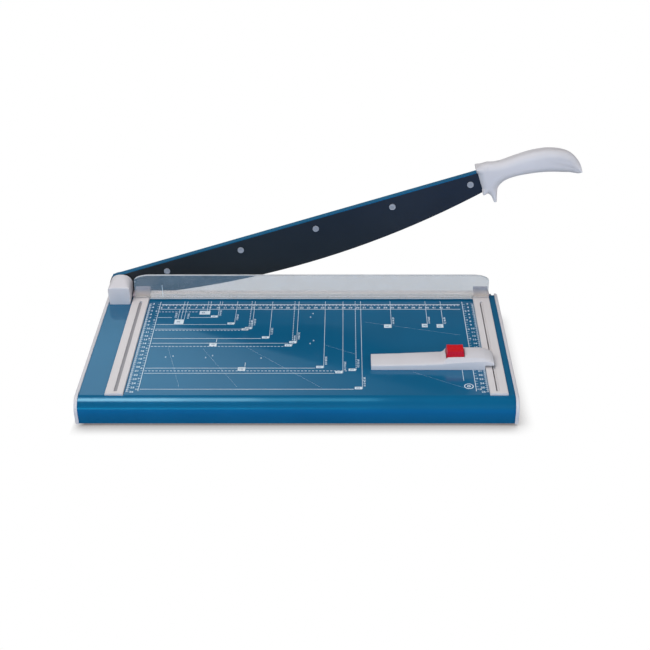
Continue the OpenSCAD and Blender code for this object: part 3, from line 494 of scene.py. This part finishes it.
# outline of the handle: mm along and square to the arm
collar_top = [(539, 21.4), (546, 22.5), (552, 23.1), (557, 22.9), (562, 21.0)]
top_line = [(568, 19.7), (579, 19.3), (597, 20.4), (618, 20.8), (638, 18.4), (655, 12.6),
            (668, 4.4), (675.5, -6), (679.3, -18), (679.6, -28.4)]
bottom_line = [(673, -28.2), (655, -20.9), (632, -13.3), (608, -8.7), (588, -7.1), (573, -9.2),
               (563.5, -15), (559.2, -22), (556.9, -29), (555.2, -35.2)]
collar_foot = [(551.4, -34.6), (550.2, -24.5), (545.8, -20.2), (539.4, -20.2)]
HANDLE_Y = 6.05                 # parting plane of the two shells
SHELL_GAP = 0.12                # half of the fine seam between them
EDGE_R = 10.0                   # largest rounding of the handle's edge
EDGE_SHARE = 0.94               # share of the way to the middle line that the rounding may take
EDGE_FLAT = 0.9                 # depth of the rounding across the handle, as a share of its width


def half_width(s):
    """Half the handle's thickness at s along the arm."""
    stops = [(538, 10.5), (556, 10.6), (572, 11.6), (590, 12.4), (640, 12.5), (655, 12.3),
             (668, 11.0), (676, 9.2), (681, 7.6)]
    for (s0, h0), (s1, h1) in zip(stops, stops[1:]):
        if s <= s1:
            f = (s - s0) / (s1 - s0)
            return h0 + (h1 - h0) * f
    return stops[-1][1]


def handle_shell(name, side, node):
    """One half of the handle: the outline at the parting plane, rounded towards its side."""
    outline = collar_top + catmull(top_line, 6) + catmull(bottom_line, 6) + collar_foot
    path = relax(resample(outline, 1.0), 3)
    normals, depth = inward(path)
    turns = [0, 6, 14, 24, 36, 50, 64, 78, 90]
    points = [on_arm(s, HANDLE_Y + side * SHELL_GAP, t) for s, t in path]
    for turn in turns:
        a = math.radians(turn)
        for (s, t), (ns, nt), reach in zip(path, normals, depth):
            edge = min(EDGE_R, EDGE_SHARE * reach)
            inset = edge * (1 - math.cos(a))
            y = half_width(s) - edge * EDGE_FLAT * (1 - math.sin(a))
            points.append(on_arm(s + ns * inset, HANDLE_Y + side * y, t + nt * inset))
    faces = rings_to_faces(len(path), len(turns) + 1)
    shade(mesh_piece(name, points, faces, paint["grey_plastic"], "arm", node))


handle_shell("handle_front", -1, "handle_front_shell")
handle_shell("handle_rear", 1, "handle_rear_shell")


# ---------------------------------------------------------------- pivot cover

COVER_X = (-58.3, -26.7)
COVER_Y = (-31.4, -2.2)
COVER_FRONT_H = 27.2            # height of the front face
COVER_REAR_H = 33.0             # height of the roof at the rear
COVER_FRONT_R = (5.0, 4.4)      # rounding of the top corners across and in height, at the front
COVER_GROWTH = (9.0, 7.6)       # how much that rounding grows to the rear
COVER_LIPS = ((0.0, 1.7), (0.25, 0.9), (0.8, 0.3), (1.6, 0.0))   # front edge: lead and inset
COVER_SIDE = ((0.9, 0.0), (0.35, 0.22), (0.0, 0.5), (0.1, 0.62))  # wall: inset and share of height
ARC_STEPS = 8


def cover_section(y, half, height, round_x, round_z):
    """Half-barrel section of the cover at y, from its left foot over the roof to its right foot."""
    middle = (COVER_X[0] + COVER_X[1]) / 2
    arc = []
    for k in range(ARC_STEPS + 1):
        a = math.radians(90 * k / ARC_STEPS)
        arc.append((half - 0.15 - round_x * (1 - math.cos(a)), height - round_z * (1 - math.sin(a))))
    wall = [(half - inset, share * (height - round_z)) for inset, share in COVER_SIDE]
    right = wall + arc
    outline = [(middle - x, z) for x, z in right] + [(middle + x, z) for x, z in reversed(right)]
    return [at(x, y, table_z + z) for x, z in outline]


def pivot_cover():
    """Loft of the cover along Y, with softly turned front edges and a roof that rises to the rear."""
    half = (COVER_X[1] - COVER_X[0]) / 2
    stations = []
    for lead, inset in COVER_LIPS:
        stations.append((COVER_Y[0] + lead, half - inset, COVER_FRONT_H - inset * 1.1, *COVER_FRONT_R))
    first, last = COVER_Y[0] + COVER_LIPS[-1][0], COVER_Y[1]
    steps = 12
    for k in range(1, steps + 1):
        f = k / steps
        rise = math.sin(math.pi / 2 * f)
        stations.append((first + (last - first) * f, half,
                         COVER_FRONT_H + (COVER_REAR_H - COVER_FRONT_H) * rise,
                         COVER_FRONT_R[0] + COVER_GROWTH[0] * rise,
                         COVER_FRONT_R[1] + COVER_GROWTH[1] * rise))
    rings = [cover_section(*row) for row in stations]
    faces = rings_to_faces(len(rings[0]), len(rings))
    shade(mesh_piece("cover_shell", [p for ring in rings for p in ring], faces,
                     paint["grey_plastic"], "base", "pivot_cover"))


pivot_cover()


# ---------------------------------------------------------------- back stop

STOP_Y = (-178.7, -207.8)       # face towards the blade, and back towards the user
STOP_BEND = -203.2              # the top slopes down to the front beyond this line
RAIL_EDGE_X = 467.4             # the stop rides over the rail beyond this
TABLE_GAP = 0.12                # height of its underside over the table
RAIL_GAP = 6.8                  # height of its underside over the rail
POCKET_FLOOR = 4.6              # height of the floor under the button
POCKET_GAP = 0.55               # room around the button
button_lo, button_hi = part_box("red_button")


def backstop():
    """Loft of the back stop along X, with a pocket for the button.

    A station holds x, the top's height at the rear and at the front, and the rounding.
    """
    stations = [
        (316.8, 6.9, 6.5, 0.9), (317.3, 7.2, 6.7, 0.9), (355, 8.4, 7.3, 1.0), (394, 10.3, 8.4, 1.1),
        (410, 11.1, 9.2, 1.3), (413, 12.6, 9.5, 1.4), (415.2, 15.4, 10.0, 1.5),
        (417.2, 17.5, 10.4, 1.5), (419.6, 18.0, 10.7, 1.6), (426, 18.1, 11.2, 1.7),
        (433, 18.1, 11.8, 1.7), (440, 18.1, 12.4, 1.7), (446, 18.1, 12.9, 1.7),
        (460, 17.9, 13.6, 1.7), (467.3, 16.8, 13.4, 1.7), (467.5, 16.7, 13.4, 1.7),
        (474, 14.0, 11.8, 1.5), (478.2, 11.2, 9.9, 1.3), (479, 10.2, 9.2, 1.0),
    ]
    points = []
    for x, rear, front, soft in stations:
        floor = RAIL_GAP if x > RAIL_EDGE_X else TABLE_GAP
        top = [(STOP_Y[0], rear - soft)]
        top += [(STOP_Y[0] - soft * (1 - math.cos(math.radians(a))),
                 rear - soft * (1 - math.sin(math.radians(a)))) for a in (30, 60, 90)]
        crest = front + (rear - front) * 0.55
        top += [(STOP_BEND + 11.0, rear - 0.02), (STOP_BEND + 6.0, rear + (crest - rear) * 0.22),
                (STOP_BEND + 0.8, crest + (rear - crest) * 0.14), (STOP_BEND - 0.8, crest)]
        top += [(STOP_Y[1] + soft * 0.9, front - 0.15 * soft),
                (STOP_Y[1] + soft * 0.3, front - 0.5 * soft), (STOP_Y[1], front - 1.2 * soft)]
        ring = [(STOP_Y[0], floor)] + top + [(STOP_Y[1], floor)]
        points += [at(x, y, table_z + z) for y, z in ring]
    faces = rings_to_faces(len(points) // len(stations), len(stations))
    obj = mesh_piece("backstop_shell", points, faces, paint["grey_plastic"], "backstop",
                     "backstop_body")
    gap = POCKET_GAP * MM
    above = button_hi.z + 10 * MM
    low = Vector((button_lo.x - gap, button_lo.y - gap, (table_z + POCKET_FLOOR) * MM))
    high = Vector((button_hi.x + gap, button_hi.y + gap, above))
    cutter = bpy.data.meshes.new("pocket")
    corners = [(x, y, z) for x in (low.x, high.x) for y in (low.y, high.y) for z in (low.z, high.z)]
    sides = [(0, 1, 3, 2), (4, 6, 7, 5), (0, 4, 5, 1), (2, 3, 7, 6), (0, 2, 6, 4), (1, 5, 7, 3)]
    cutter.from_pydata(corners, [], sides)
    tool = bpy.data.objects.new("pocket", cutter)
    scene.collection.objects.link(tool)
    cut = obj.modifiers.new("pocket", "BOOLEAN")
    cut.operation, cut.solver, cut.object = "DIFFERENCE", "EXACT", tool
    bake(obj)
    bpy.data.objects.remove(tool)
    bpy.data.meshes.remove(cutter)
    shade(obj)


backstop()


# ---------------------------------------------------------------- springs

def spring(node, body):
    """A copy of a spring's coil in place of its CAD node, welded and smoothly shaded, riding on body.
    """
    obj = bpy.data.objects.new(node + "_coil", nodes[node].data.copy())
    scene.collection.objects.link(obj)
    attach(obj, body)
    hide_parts(node)
    weld(obj)
    bake(obj)
    shade(obj)
    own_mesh(obj)


moves = {j["name"]: j for j in frame["record"]["behaviour"]["joints"]}
press_low, press_high = moves["press_bar_slide"]["range_m"]
spring("left_press_spring", "base")
spring("right_press_spring", "base")
spring("button_spring", "backstop")


# ---------------------------------------------------------------- mark on the guard

def guard_mark():
    """A thin upright line on the clear guard, where its scale begins."""
    x, y0, y1, z0, z1, half = 18.6, -19.62, -19.48, table_z + 7, table_z + 25, 0.28
    corners = [(x - half, z0), (x + half, z0), (x + half, z1), (x, z1 + 0.6), (x - half, z1)]
    points = [at(px, y, pz) for y in (y0, y1) for px, pz in corners]
    mesh_piece("guard_mark", points, rings_to_faces(len(corners), 2), ink_white, "press")


guard_mark()


# ---------------------------------------------------------------- printed scales on the table

class Print:
    """Thin slabs of ink on the table, in mm from the corner: x to the right, y to the user."""

    THICK = 0.05
    SINK = 0.02                 # the slabs reach this far into the table
    BOLD = 0.02                 # digits are thickened by this share of their size

    def __init__(self, lift=0.0):
        self.points, self.faces = [], []
        self.lift = lift

    def slab(self, outline):
        """A closed slab over a convex outline."""
        n, base = len(outline), len(self.points)
        for z in (table_z - self.SINK, table_z + self.THICK + self.lift):
            self.points += [at(x, -y, z) for x, y in outline]
        self.faces.append(tuple(base + i for i in reversed(range(n))))
        self.faces.append(tuple(base + n + i for i in range(n)))
        for i in range(n):
            j = (i + 1) % n
            self.faces.append((base + i, base + j, base + n + j, base + n + i))

    def box(self, x0, x1, y0, y1):
        self.slab([(x0, y0), (x1, y0), (x1, y1), (x0, y1)])

    def line(self, a, b, width):
        dx, dy = b[0] - a[0], b[1] - a[1]
        length = math.hypot(dx, dy)
        ox, oy = -dy / length * width / 2, dx / length * width / 2
        self.slab([(a[0] + ox, a[1] + oy), (b[0] + ox, b[1] + oy), (b[0] - ox, b[1] - oy),
                   (a[0] - ox, a[1] - oy)])

    def ring(self, centre, outer, inner, sides=28):
        """A plain ring, as short slabs side by side."""
        for k in range(sides):
            a, b = 2 * math.pi * k / sides, 2 * math.pi * (k + 1) / sides
            self.slab([(centre[0] + r * math.cos(t), centre[1] + r * math.sin(t))
                       for r, t in ((inner, a), (outer, a), (outer, b), (inner, b))])

    def dashes(self, a, b, width, dash=2.9, pitch=4.8):
        length = math.dist(a, b)
        ux, uy = (b[0] - a[0]) / length, (b[1] - a[1]) / length
        run = 0.0
        while run + dash <= length:
            self.line((a[0] + ux * run, a[1] + uy * run),
                      (a[0] + ux * (run + dash), a[1] + uy * (run + dash)), width)
            run += pitch

    def number(self, value, x, y, size, turned=False):
        """A number whose lower left corner is at x, y; turned reads away from the user."""
        curve = bpy.data.curves.new("digits", "FONT")
        curve.body = str(value)
        curve.size = size
        curve.offset = size * self.BOLD
        curve.resolution_u = 2
        holder = bpy.data.objects.new("digits", curve)
        scene.collection.objects.link(holder)
        bpy.context.view_layer.update()
        flat = bpy.data.meshes.new_from_object(
            holder.evaluated_get(bpy.context.evaluated_depsgraph_get()))
        bm = bmesh.new()
        bm.from_mesh(flat)
        bmesh.ops.remove_doubles(bm, verts=bm.verts, dist=size * 0.002)
        grown = bmesh.ops.extrude_face_region(bm, geom=bm.faces[:])
        for part in grown["geom"]:
            if isinstance(part, bmesh.types.BMVert):
                part.co.z = 1.0
        bmesh.ops.recalc_face_normals(bm, faces=bm.faces)
        base = len(self.points)
        bm.verts.index_update()
        for v in bm.verts:
            u, w, raised = v.co
            px, py = (x + w, y + u) if turned else (x + u, y - w)
            z = table_z + self.THICK + self.lift if raised else table_z - self.SINK
            self.points.append(at(px, -py, z))
        for f in bm.faces:
            self.faces.append(tuple(base + v.index for v in f.verts))
        bm.free()
        bpy.data.objects.remove(holder)
        bpy.data.curves.remove(curve)
        bpy.data.meshes.remove(flat)

    def piece(self, name, mat):
        mesh_piece(name, self.points, self.faces, mat, "base")


ink = Print()
tags = Print(lift=0.03)

SCALE_X = (0.0, 467.5)          # outer ends of the two depth scales
SCALE_END = 260
LINE_X = (15.9, 451.3)          # long lines beside the depth scales
CROSS_X = (17.8, 447.6)         # ends of those lines; format lines start at the first
CROSS_Y = (31.7, 45.7)          # the two long lines of the cross scale
START_Y = 22.5                  # upright lines come out from under the guard here
FIRST_MARK = 30                 # first mark of the depth scales
QUARTER = INCH / 4
WIDE, FULL, FINE, HAIR = 1.0, 0.8, 0.55, 0.09    # widths of printed lines

for y in range(FIRST_MARK, SCALE_END + 1):
    reach = 3.9 if y % 10 == 0 else 3.4 if y % 5 == 0 else 2.4
    half = 0.34 if y % 5 == 0 else 0.18
    ink.box(SCALE_X[0] + 0.2, SCALE_X[0] + 0.2 + reach, y - half, y + half)
    ink.box(SCALE_X[1] - reach, SCALE_X[1] - 0.2, y - half, y + half)
for y in range(FIRST_MARK, SCALE_END + 1, 10):
    ink.number(y // 10, 5.0, y + 1.8, 5.4)
    ink.number(y // 10, 457.6, y + 1.8, 5.4)
for k in range(5, 41):
    y = QUARTER * k
    ink.box(12.4, 15.6, y - 0.25, y + 0.25)
    ink.box(451.6, 454.8, y - 0.25, y + 0.25)
    if k % 4 == 0:
        ink.number(k // 4, 11.4, y + 1.8, 4.8)
        ink.number(k // 4, 453.6, y + 1.8, 4.8)
for x in LINE_X:
    ink.line((x, 24), (x, 258.5), 0.75)

for y in CROSS_Y:
    ink.line((CROSS_X[0], y), (CROSS_X[1], y), 0.9)
for x in range(20, 448):
    reach = 5.0 if x % 10 == 0 else 4.2 if x % 5 == 0 else 2.6
    half = 0.38 if x % 5 == 0 else 0.2
    ink.box(x - half, x + half, CROSS_Y[0], CROSS_Y[0] + reach)
for x in range(20, 440, 10):
    ink.number(x // 10, x - 2.6, CROSS_Y[0] + 11.4, 5.6)

# paper formats: width, depth, dashed
formats = [
    (304.8, 254.0, False), (279.4, 215.9, False), (297.0, 210.0, True), (254.0, 203.2, False),
    (210.0, 148.0, True), (215.9, 139.7, False), (177.8, 127.0, False), (152.4, 101.6, False),
    (148.0, 105.0, True), (127.0, 88.9, False),
]
LABEL = (10.0, 5.6)             # white box at a format's corner
LABEL_DIGITS = 3.6
SMALL_DIGITS = 3.8
CAPTION_RUN = 29                # a turned caption starts this far before the corner
CAPTION_GAP = 1.6


def caption(text, x, depth):
    """Small turned numbers beside an upright line that ends at depth."""
    ink.number(text, x + CAPTION_GAP, depth - CAPTION_RUN, SMALL_DIGITS, turned=True)


for width, depth, dashed in formats:
    draw = ink.dashes if dashed else ink.line
    gap = 0.0 if dashed else 1.2
    draw((CROSS_X[0], depth), (width - LABEL[0] - gap, depth), WIDE if dashed else FULL)
    draw((width, START_Y), (width, depth - 1), FULL if dashed else FINE)
    ink.box(width - LABEL[0], width - 0.6, depth - LABEL[1], depth)
    tags.number(round(width), width - LABEL[0] + 1.6, depth - 1.5, LABEL_DIGITS)
    sizes = (width, depth, width / INCH, depth / INCH)
    caption(" ".join(str(round(size)) for size in sizes), width, depth)

ink.line((CROSS_X[0], 69.2), (37, 69.2), FULL)
ink.line((63, 69.2), (92, 69.2), FULL)
ink.line((102, START_Y), (102, 68.4), FINE)
ink.box(92, 101.4, 63.6, 69.2)
tags.number(102, 93.4, 67.8, LABEL_DIGITS)
ink.number("102 69 4 3", 103.6, 48, SMALL_DIGITS, turned=True)
for x, foot in ((85.1, 50.6), (88.9, 50.6), (105.3, CROSS_Y[0])):
    ink.line((x, START_Y), (x, foot), 0.5)
ink.dashes((16, 53.2), (75, 53.2), WIDE)
ink.box(75, 90, 50.6, 60.7)
tags.number(85, 78.2, 57.4, 4.6)
for x, start in ((46, CROSS_Y[1]), (50.5, START_Y), (55, START_Y)):
    ink.line((x, start), (x, 75), FINE)
ink.box(42, 55, 75, 87.5)
tags.number(50, 45, 83, 5)
ink.number("50 75 2 3", 41.0, 56, SMALL_DIGITS, turned=True)
ink.number("55 85 2 3", 58.6, 58, SMALL_DIGITS, turned=True)
for x, left, foot in ((347.4, 337, 98), (398, 390, 96.5), (420, 410.6, 97.5)):
    ink.line((x, START_Y), (x, foot - 9), 0.6)
    ink.box(left, x, foot - 9.5, foot)
    tags.number(round(x), left + 1.4, foot - 2.8, LABEL_DIGITS)
    caption(f"{round(x)} {round(foot)} {round(x / INCH)} 4", x, foot)
for x, y in ((102, 142.9), (145.4, 205.4)):
    ink.box(x - 5, x + 5, y - 4.4, y + 4.4)
    tags.number(round(x), x - 3.2, y + 1.4, LABEL_DIGITS)
    ink.line((x + 4, y - 16), (x + 4, y - 6), 0.7)
ink.line((437, 200), (437, 234), 0.6)
ring_mark = (442.5, 247)
ink.ring(ring_mark, 6.2, 5.0)
ink.ring(ring_mark, 2.4, 1.2)

diagonals = [((41.3, 149.5), (67.7, 248.8)), ((89.5, 154.7), (142.7, 248.8)),
             ((147.5, 149.5), (252.5, 251.1)), ((255, 144.3), (295.7, 167.6)),
             ((310.5, 81.9), (441.4, 117.6)), ((371.8, 212.7), (437.1, 251.1))]
for a, b in diagonals:
    ink.line(a, b, HAIR)
marks = [(41.8, 175.3), (51.6, 172.7), (95.7, 176.6), (104.6, 171.5), (170.2, 177.8),
         (235.1, 140.3), (239.7, 132.4), (234.1, 67.8), (237.4, 57.8)]
for x, y in marks:
    ink.number(5, x - 1.6, y + 1.6, 4.2)

ink.piece("table_print", ink_white)
tags.piece("table_tag_numbers", ink_blue)


# ---------------------------------------------------------------- floor, light and camera

FLOOR_HALF = 6.0
FLOOR_DROP = 0.5 * MM           # keeps the floor clear of the feet
SHADOW_REACH = 24 * MM
SHADOW_START = (-6 * MM, 16 * MM)   # the painted contact shadow sets in here, from the left end of the cutter
BLUE_GLOW_Y = (-0.18, -0.152)        # the floor glows blue to the nose ahead of these lines, a painted reflection
BLUE_GLOW_SIGHT = (0.32, 0.5)        # and only to rays within this slope from straight ahead


def stage_floor():
    """A floor that is white to the camera with a painted soft contact shadow; to gloss rays it glows
    dim, and blue ahead of the nose, as painted reflections.
    """
    mesh = bpy.data.meshes.new("floor")
    corners = [(x * FLOOR_HALF, y * FLOOR_HALF, 0) for x, y in ((-1, -1), (1, -1), (1, 1), (-1, 1))]
    mesh.from_pydata(corners, [], [(0, 1, 2, 3)])
    obj = bpy.data.objects.new("floor", mesh)
    scene.collection.objects.link(obj)
    obj.location.z = -FLOOR_DROP
    net = Net("pale_floor")
    # painted shadow: ambient occlusion darkens the white the camera sees, except left of the cutter
    near = net.add("AmbientOcclusion", {"Distance": SHADOW_REACH}, samples=12).outputs["AO"]
    place = net.add("SeparateXYZ", {0: net.add("TexCoord").outputs["Object"]})
    left = cad_box[0][0]
    lit_side = span(net, place.outputs["X"], 1.0, 0.0, left + SHADOW_START[0], left + SHADOW_START[1])
    open_air = net.add("Math", {0: near, 1: lit_side}, operation="MAXIMUM").outputs["Value"]
    tone = ramp(net, open_air, rgb(120, 114, 114), rgb(255, 255, 255), 0.25, 0.97)
    seen = net.add("Emission", {"Color": tone, "Strength": 1.0}).outputs["Emission"]
    grain = noise_at(net, 40, 3)
    lit = net.add("BsdfDiffuse", {"Color": ramp(net, grain, rgb(214, 214, 216), rgb(222, 222, 224))})
    # painted reflection: ahead of the nose the floor glows blue to gloss rays, elsewhere a dim
    # blue-grey
    ahead = span(net, place.outputs["Y"], 1.0, 0.0, *BLUE_GLOW_Y)
    sight = net.add("SeparateXYZ", {0: net.add("NewGeometry").outputs["Incoming"]}).outputs["X"]
    aside = net.add("Math", {0: sight}, operation="ABSOLUTE").outputs["Value"]
    blue_glow = net.add("Math", {0: ahead, 1: span(net, aside, 1.0, 0.0, *BLUE_GLOW_SIGHT)},
                   operation="MULTIPLY").outputs["Value"]
    seen_low = net.add("MixRGB", {
        "Fac": blue_glow, "Color1": rgb(24, 40, 60), "Color2": (0.0, 0.4, 1.7, 1),
    }).outputs["Color"]
    dim = net.add("Emission", {"Color": seen_low, "Strength": 1.0}).outputs["Emission"]
    ray = net.add("LightPath").outputs
    bounce = net.add("MixShader", {0: ray["Is Glossy Ray"], 1: lit.outputs["BSDF"], 2: dim})
    mix = net.add("MixShader", {0: ray["Is Camera Ray"], 1: bounce.outputs["Shader"], 2: seen})
    obj.data.materials.append(net.done(mix.outputs["Shader"]))


def studio_world():
    """White to the camera, a soft sky to matt surfaces, and a slanted panel behind, seen in gloss."""
    world = bpy.data.worlds.new("studio")
    world.use_nodes = True
    tree = world.node_tree
    tree.nodes.clear()
    link = tree.links.new

    def add(kind, **props):
        node = tree.nodes.new("ShaderNode" + kind)
        for key, value in props.items():
            setattr(node, key, value)
        return node

    def math_node(operation, a, b):
        node = add("Math", operation=operation)
        for socket, value in zip(node.inputs, (a, b)):
            if isinstance(value, bpy.types.NodeSocket):
                link(value, socket)
            else:
                socket.default_value = value
        return node.outputs[0]

    def fade(value, start, end, low=0.0, high=1.0):
        node = add("MapRange", interpolation_type="SMOOTHSTEP")
        link(value, node.inputs["Value"])
        for key, number in (("From Min", start), ("From Max", end), ("To Min", low), ("To Max", high)):
            node.inputs[key].default_value = number
        return node.outputs["Result"]

    ray = add("LightPath")
    axes = add("SeparateXYZ")
    link(add("TexCoord").outputs["Generated"], axes.inputs[0])
    ahead = math_node("MAXIMUM", axes.outputs["Y"], 0.02)
    across = math_node("DIVIDE", axes.outputs["X"], ahead)
    upward = math_node("DIVIDE", axes.outputs["Z"], ahead)
    slant = math_node("SUBTRACT", upward, math_node("MULTIPLY", across, 0.35))
    inside = math_node("MULTIPLY", fade(slant, 0.622, 0.652), fade(upward, 1.15, 0.75))
    panel = math_node("MULTIPLY", inside, fade(across, 0.12, -0.20, 0.27, 1.42))
    beyond = math_node("MULTIPLY", fade(slant, 0.620, 0.585, 0.0, 0.10),
                       fade(axes.outputs["Y"], 0.0, 0.3))
    level = math_node("ADD", math_node("ADD", panel, beyond), 0.035)
    soft = add("Background")
    soft.inputs["Color"].default_value = rgb(243, 244, 249)
    soft.inputs["Strength"].default_value = 0.36
    gloss = add("Background")
    gloss.inputs["Color"].default_value = (0.68, 1.0, 1.2, 1)
    link(level, gloss.inputs["Strength"])
    seen = add("Background")
    seen.inputs["Color"].default_value = (1, 1, 1, 1)
    pick_gloss, pick_seen = add("MixShader"), add("MixShader")
    link(ray.outputs["Is Glossy Ray"], pick_gloss.inputs[0])
    link(soft.outputs[0], pick_gloss.inputs[1])
    link(gloss.outputs[0], pick_gloss.inputs[2])
    link(ray.outputs["Is Camera Ray"], pick_seen.inputs[0])
    link(pick_gloss.outputs[0], pick_seen.inputs[1])
    link(seen.outputs[0], pick_seen.inputs[2])
    link(pick_seen.outputs[0], add("OutputWorld").inputs["Surface"])
    scene.world = world


def area_light(name, place, aim, size, power, colour, seen_by, only=None):
    """A soft panel; without an aim it faces straight down. only is the group that limits it."""
    lamp = bpy.data.lights.new(name, "AREA")
    lamp.shape = "RECTANGLE"
    lamp.size, lamp.size_y = size
    lamp.energy = power
    lamp.color = colour[:3]
    obj = bpy.data.objects.new(name, lamp)
    scene.collection.objects.link(obj)
    obj.location = place
    if aim:
        obj.rotation_mode = "QUATERNION"
        obj.rotation_quaternion = (Vector(aim) - Vector(place)).to_track_quat("-Z", "Y")
    obj.visible_camera = False
    obj.visible_diffuse = seen_by == "diffuse"
    obj.visible_glossy = seen_by == "gloss"
    if only:
        obj.light_linking.receiver_collection = only


def group_of(name, obj, state):
    """A collection that limits a light to one object, or keeps that object out of it."""
    group = bpy.data.collections.new(name)
    group.objects.link(obj)
    group.collection_objects[0].light_linking.link_state = state
    return group


LAYER = 0.004                   # overlapping panels lie this far apart, so a ray meets each of them


def gloss_row(name, left, steps, place, aim, depths, radiance, group):
    """Panels that share a left end and stop one after the other, so their glare fades to the right.

    steps hold a right end, a share of the radiance and a colour; depths hold a depth and a share.
    place and aim are given in Y and Z.
    """
    for i, (right, share, colour) in enumerate(steps):
        for j, (depth, part) in enumerate(depths):
            apart = LAYER * (i * len(depths) + j)
            centre = ((left + right) / 2, place[0] + apart, place[1] - apart)
            toward = ((left + right) / 2, aim[0], aim[1]) if aim else None
            width = right - left
            area_light(f"{name}_{i}{j}", centre, toward, (width, depth),
                       radiance * share * part * math.pi * width * depth, colour, "gloss", group)


WARM, COOL, PALE = rgb(255, 248, 242), rgb(190, 219, 248), rgb(214, 228, 244)
SILVER, SKY, DEEP = (0.60, 0.95, 1.05), (0.25, 0.95, 1.15), (0.01, 0.6, 1.0)
stage_floor()
studio_world()
lacquered = group_of("lacquered", nodes["table_top"], "INCLUDE")
others = group_of("others", nodes["table_top"], "EXCLUDE")
gloss_row("softbox", -1.25, [(-0.36, 0.37, SILVER), (-0.18, 0.36, SILVER), (0.08, 0.27, SKY)],
          (-0.26, 1.15), None, [(0.45, 0.6), (0.80, 0.4)], 10.5, lacquered)
gloss_row("strip", -1.8, [(-0.72, 0.19, DEEP), (-0.50, 0.10, DEEP), (-0.26, 0.22, DEEP),
                          (0.10, 0.41, DEEP), (1.20, 0.08, DEEP)],
          (-2.4, 0.28), (-0.14, 0.03), [(0.50, 1.0)], 5.1, lacquered)
area_light("strip_high", (-0.4, -2.4, 0.83), (-0.1, -0.14, 0.03), (2.8, 0.74), 2.6, DEEP,
           "gloss", lacquered)
area_light("sheen_front", (-0.1, -2.3, 0.8), (0, 0, 0.1), (2.4, 0.8), 10, PALE, "gloss", others)
area_light("soft_top", (-0.55, -0.1, 1.5), (-0.15, -0.05, 0), (1.0, 0.8), 9, WARM, "diffuse")
area_light("key_left", (-1.5, -0.9, 1.7), (0, 0, 0.05), (0.8, 0.8), 14, WARM, "diffuse")
area_light("fill_front", (0.2, -2.1, 0.9), (0.05, 0, 0.1), (1.8, 0.8), 21, COOL, "diffuse")
area_light("fill_right", (1.9, -0.7, 1.0), (0.2, 0, 0.05), (0.8, 0.8), 12, WARM, "diffuse")

CAMERA_AT = (281.3, -1590.7, 916.9)     # in mm from the corner of cutting line and left stop
CAMERA_TILT = 59.64                     # degrees up from straight down
camera = bpy.data.cameras.new("camera")
camera.sensor_width = 36.0
camera.lens = 68.67
camera.shift_x = -0.0297
camera.clip_start, camera.clip_end = 0.05, 30
camera_obj = bpy.data.objects.new("camera", camera)
camera_obj.location = at(*CAMERA_AT)
camera_obj.rotation_euler = (math.radians(CAMERA_TILT), 0, 0)
scene.collection.objects.link(camera_obj)
scene.camera = camera_obj

scene.view_settings.view_transform = "Standard"
scene.view_settings.look = "None"
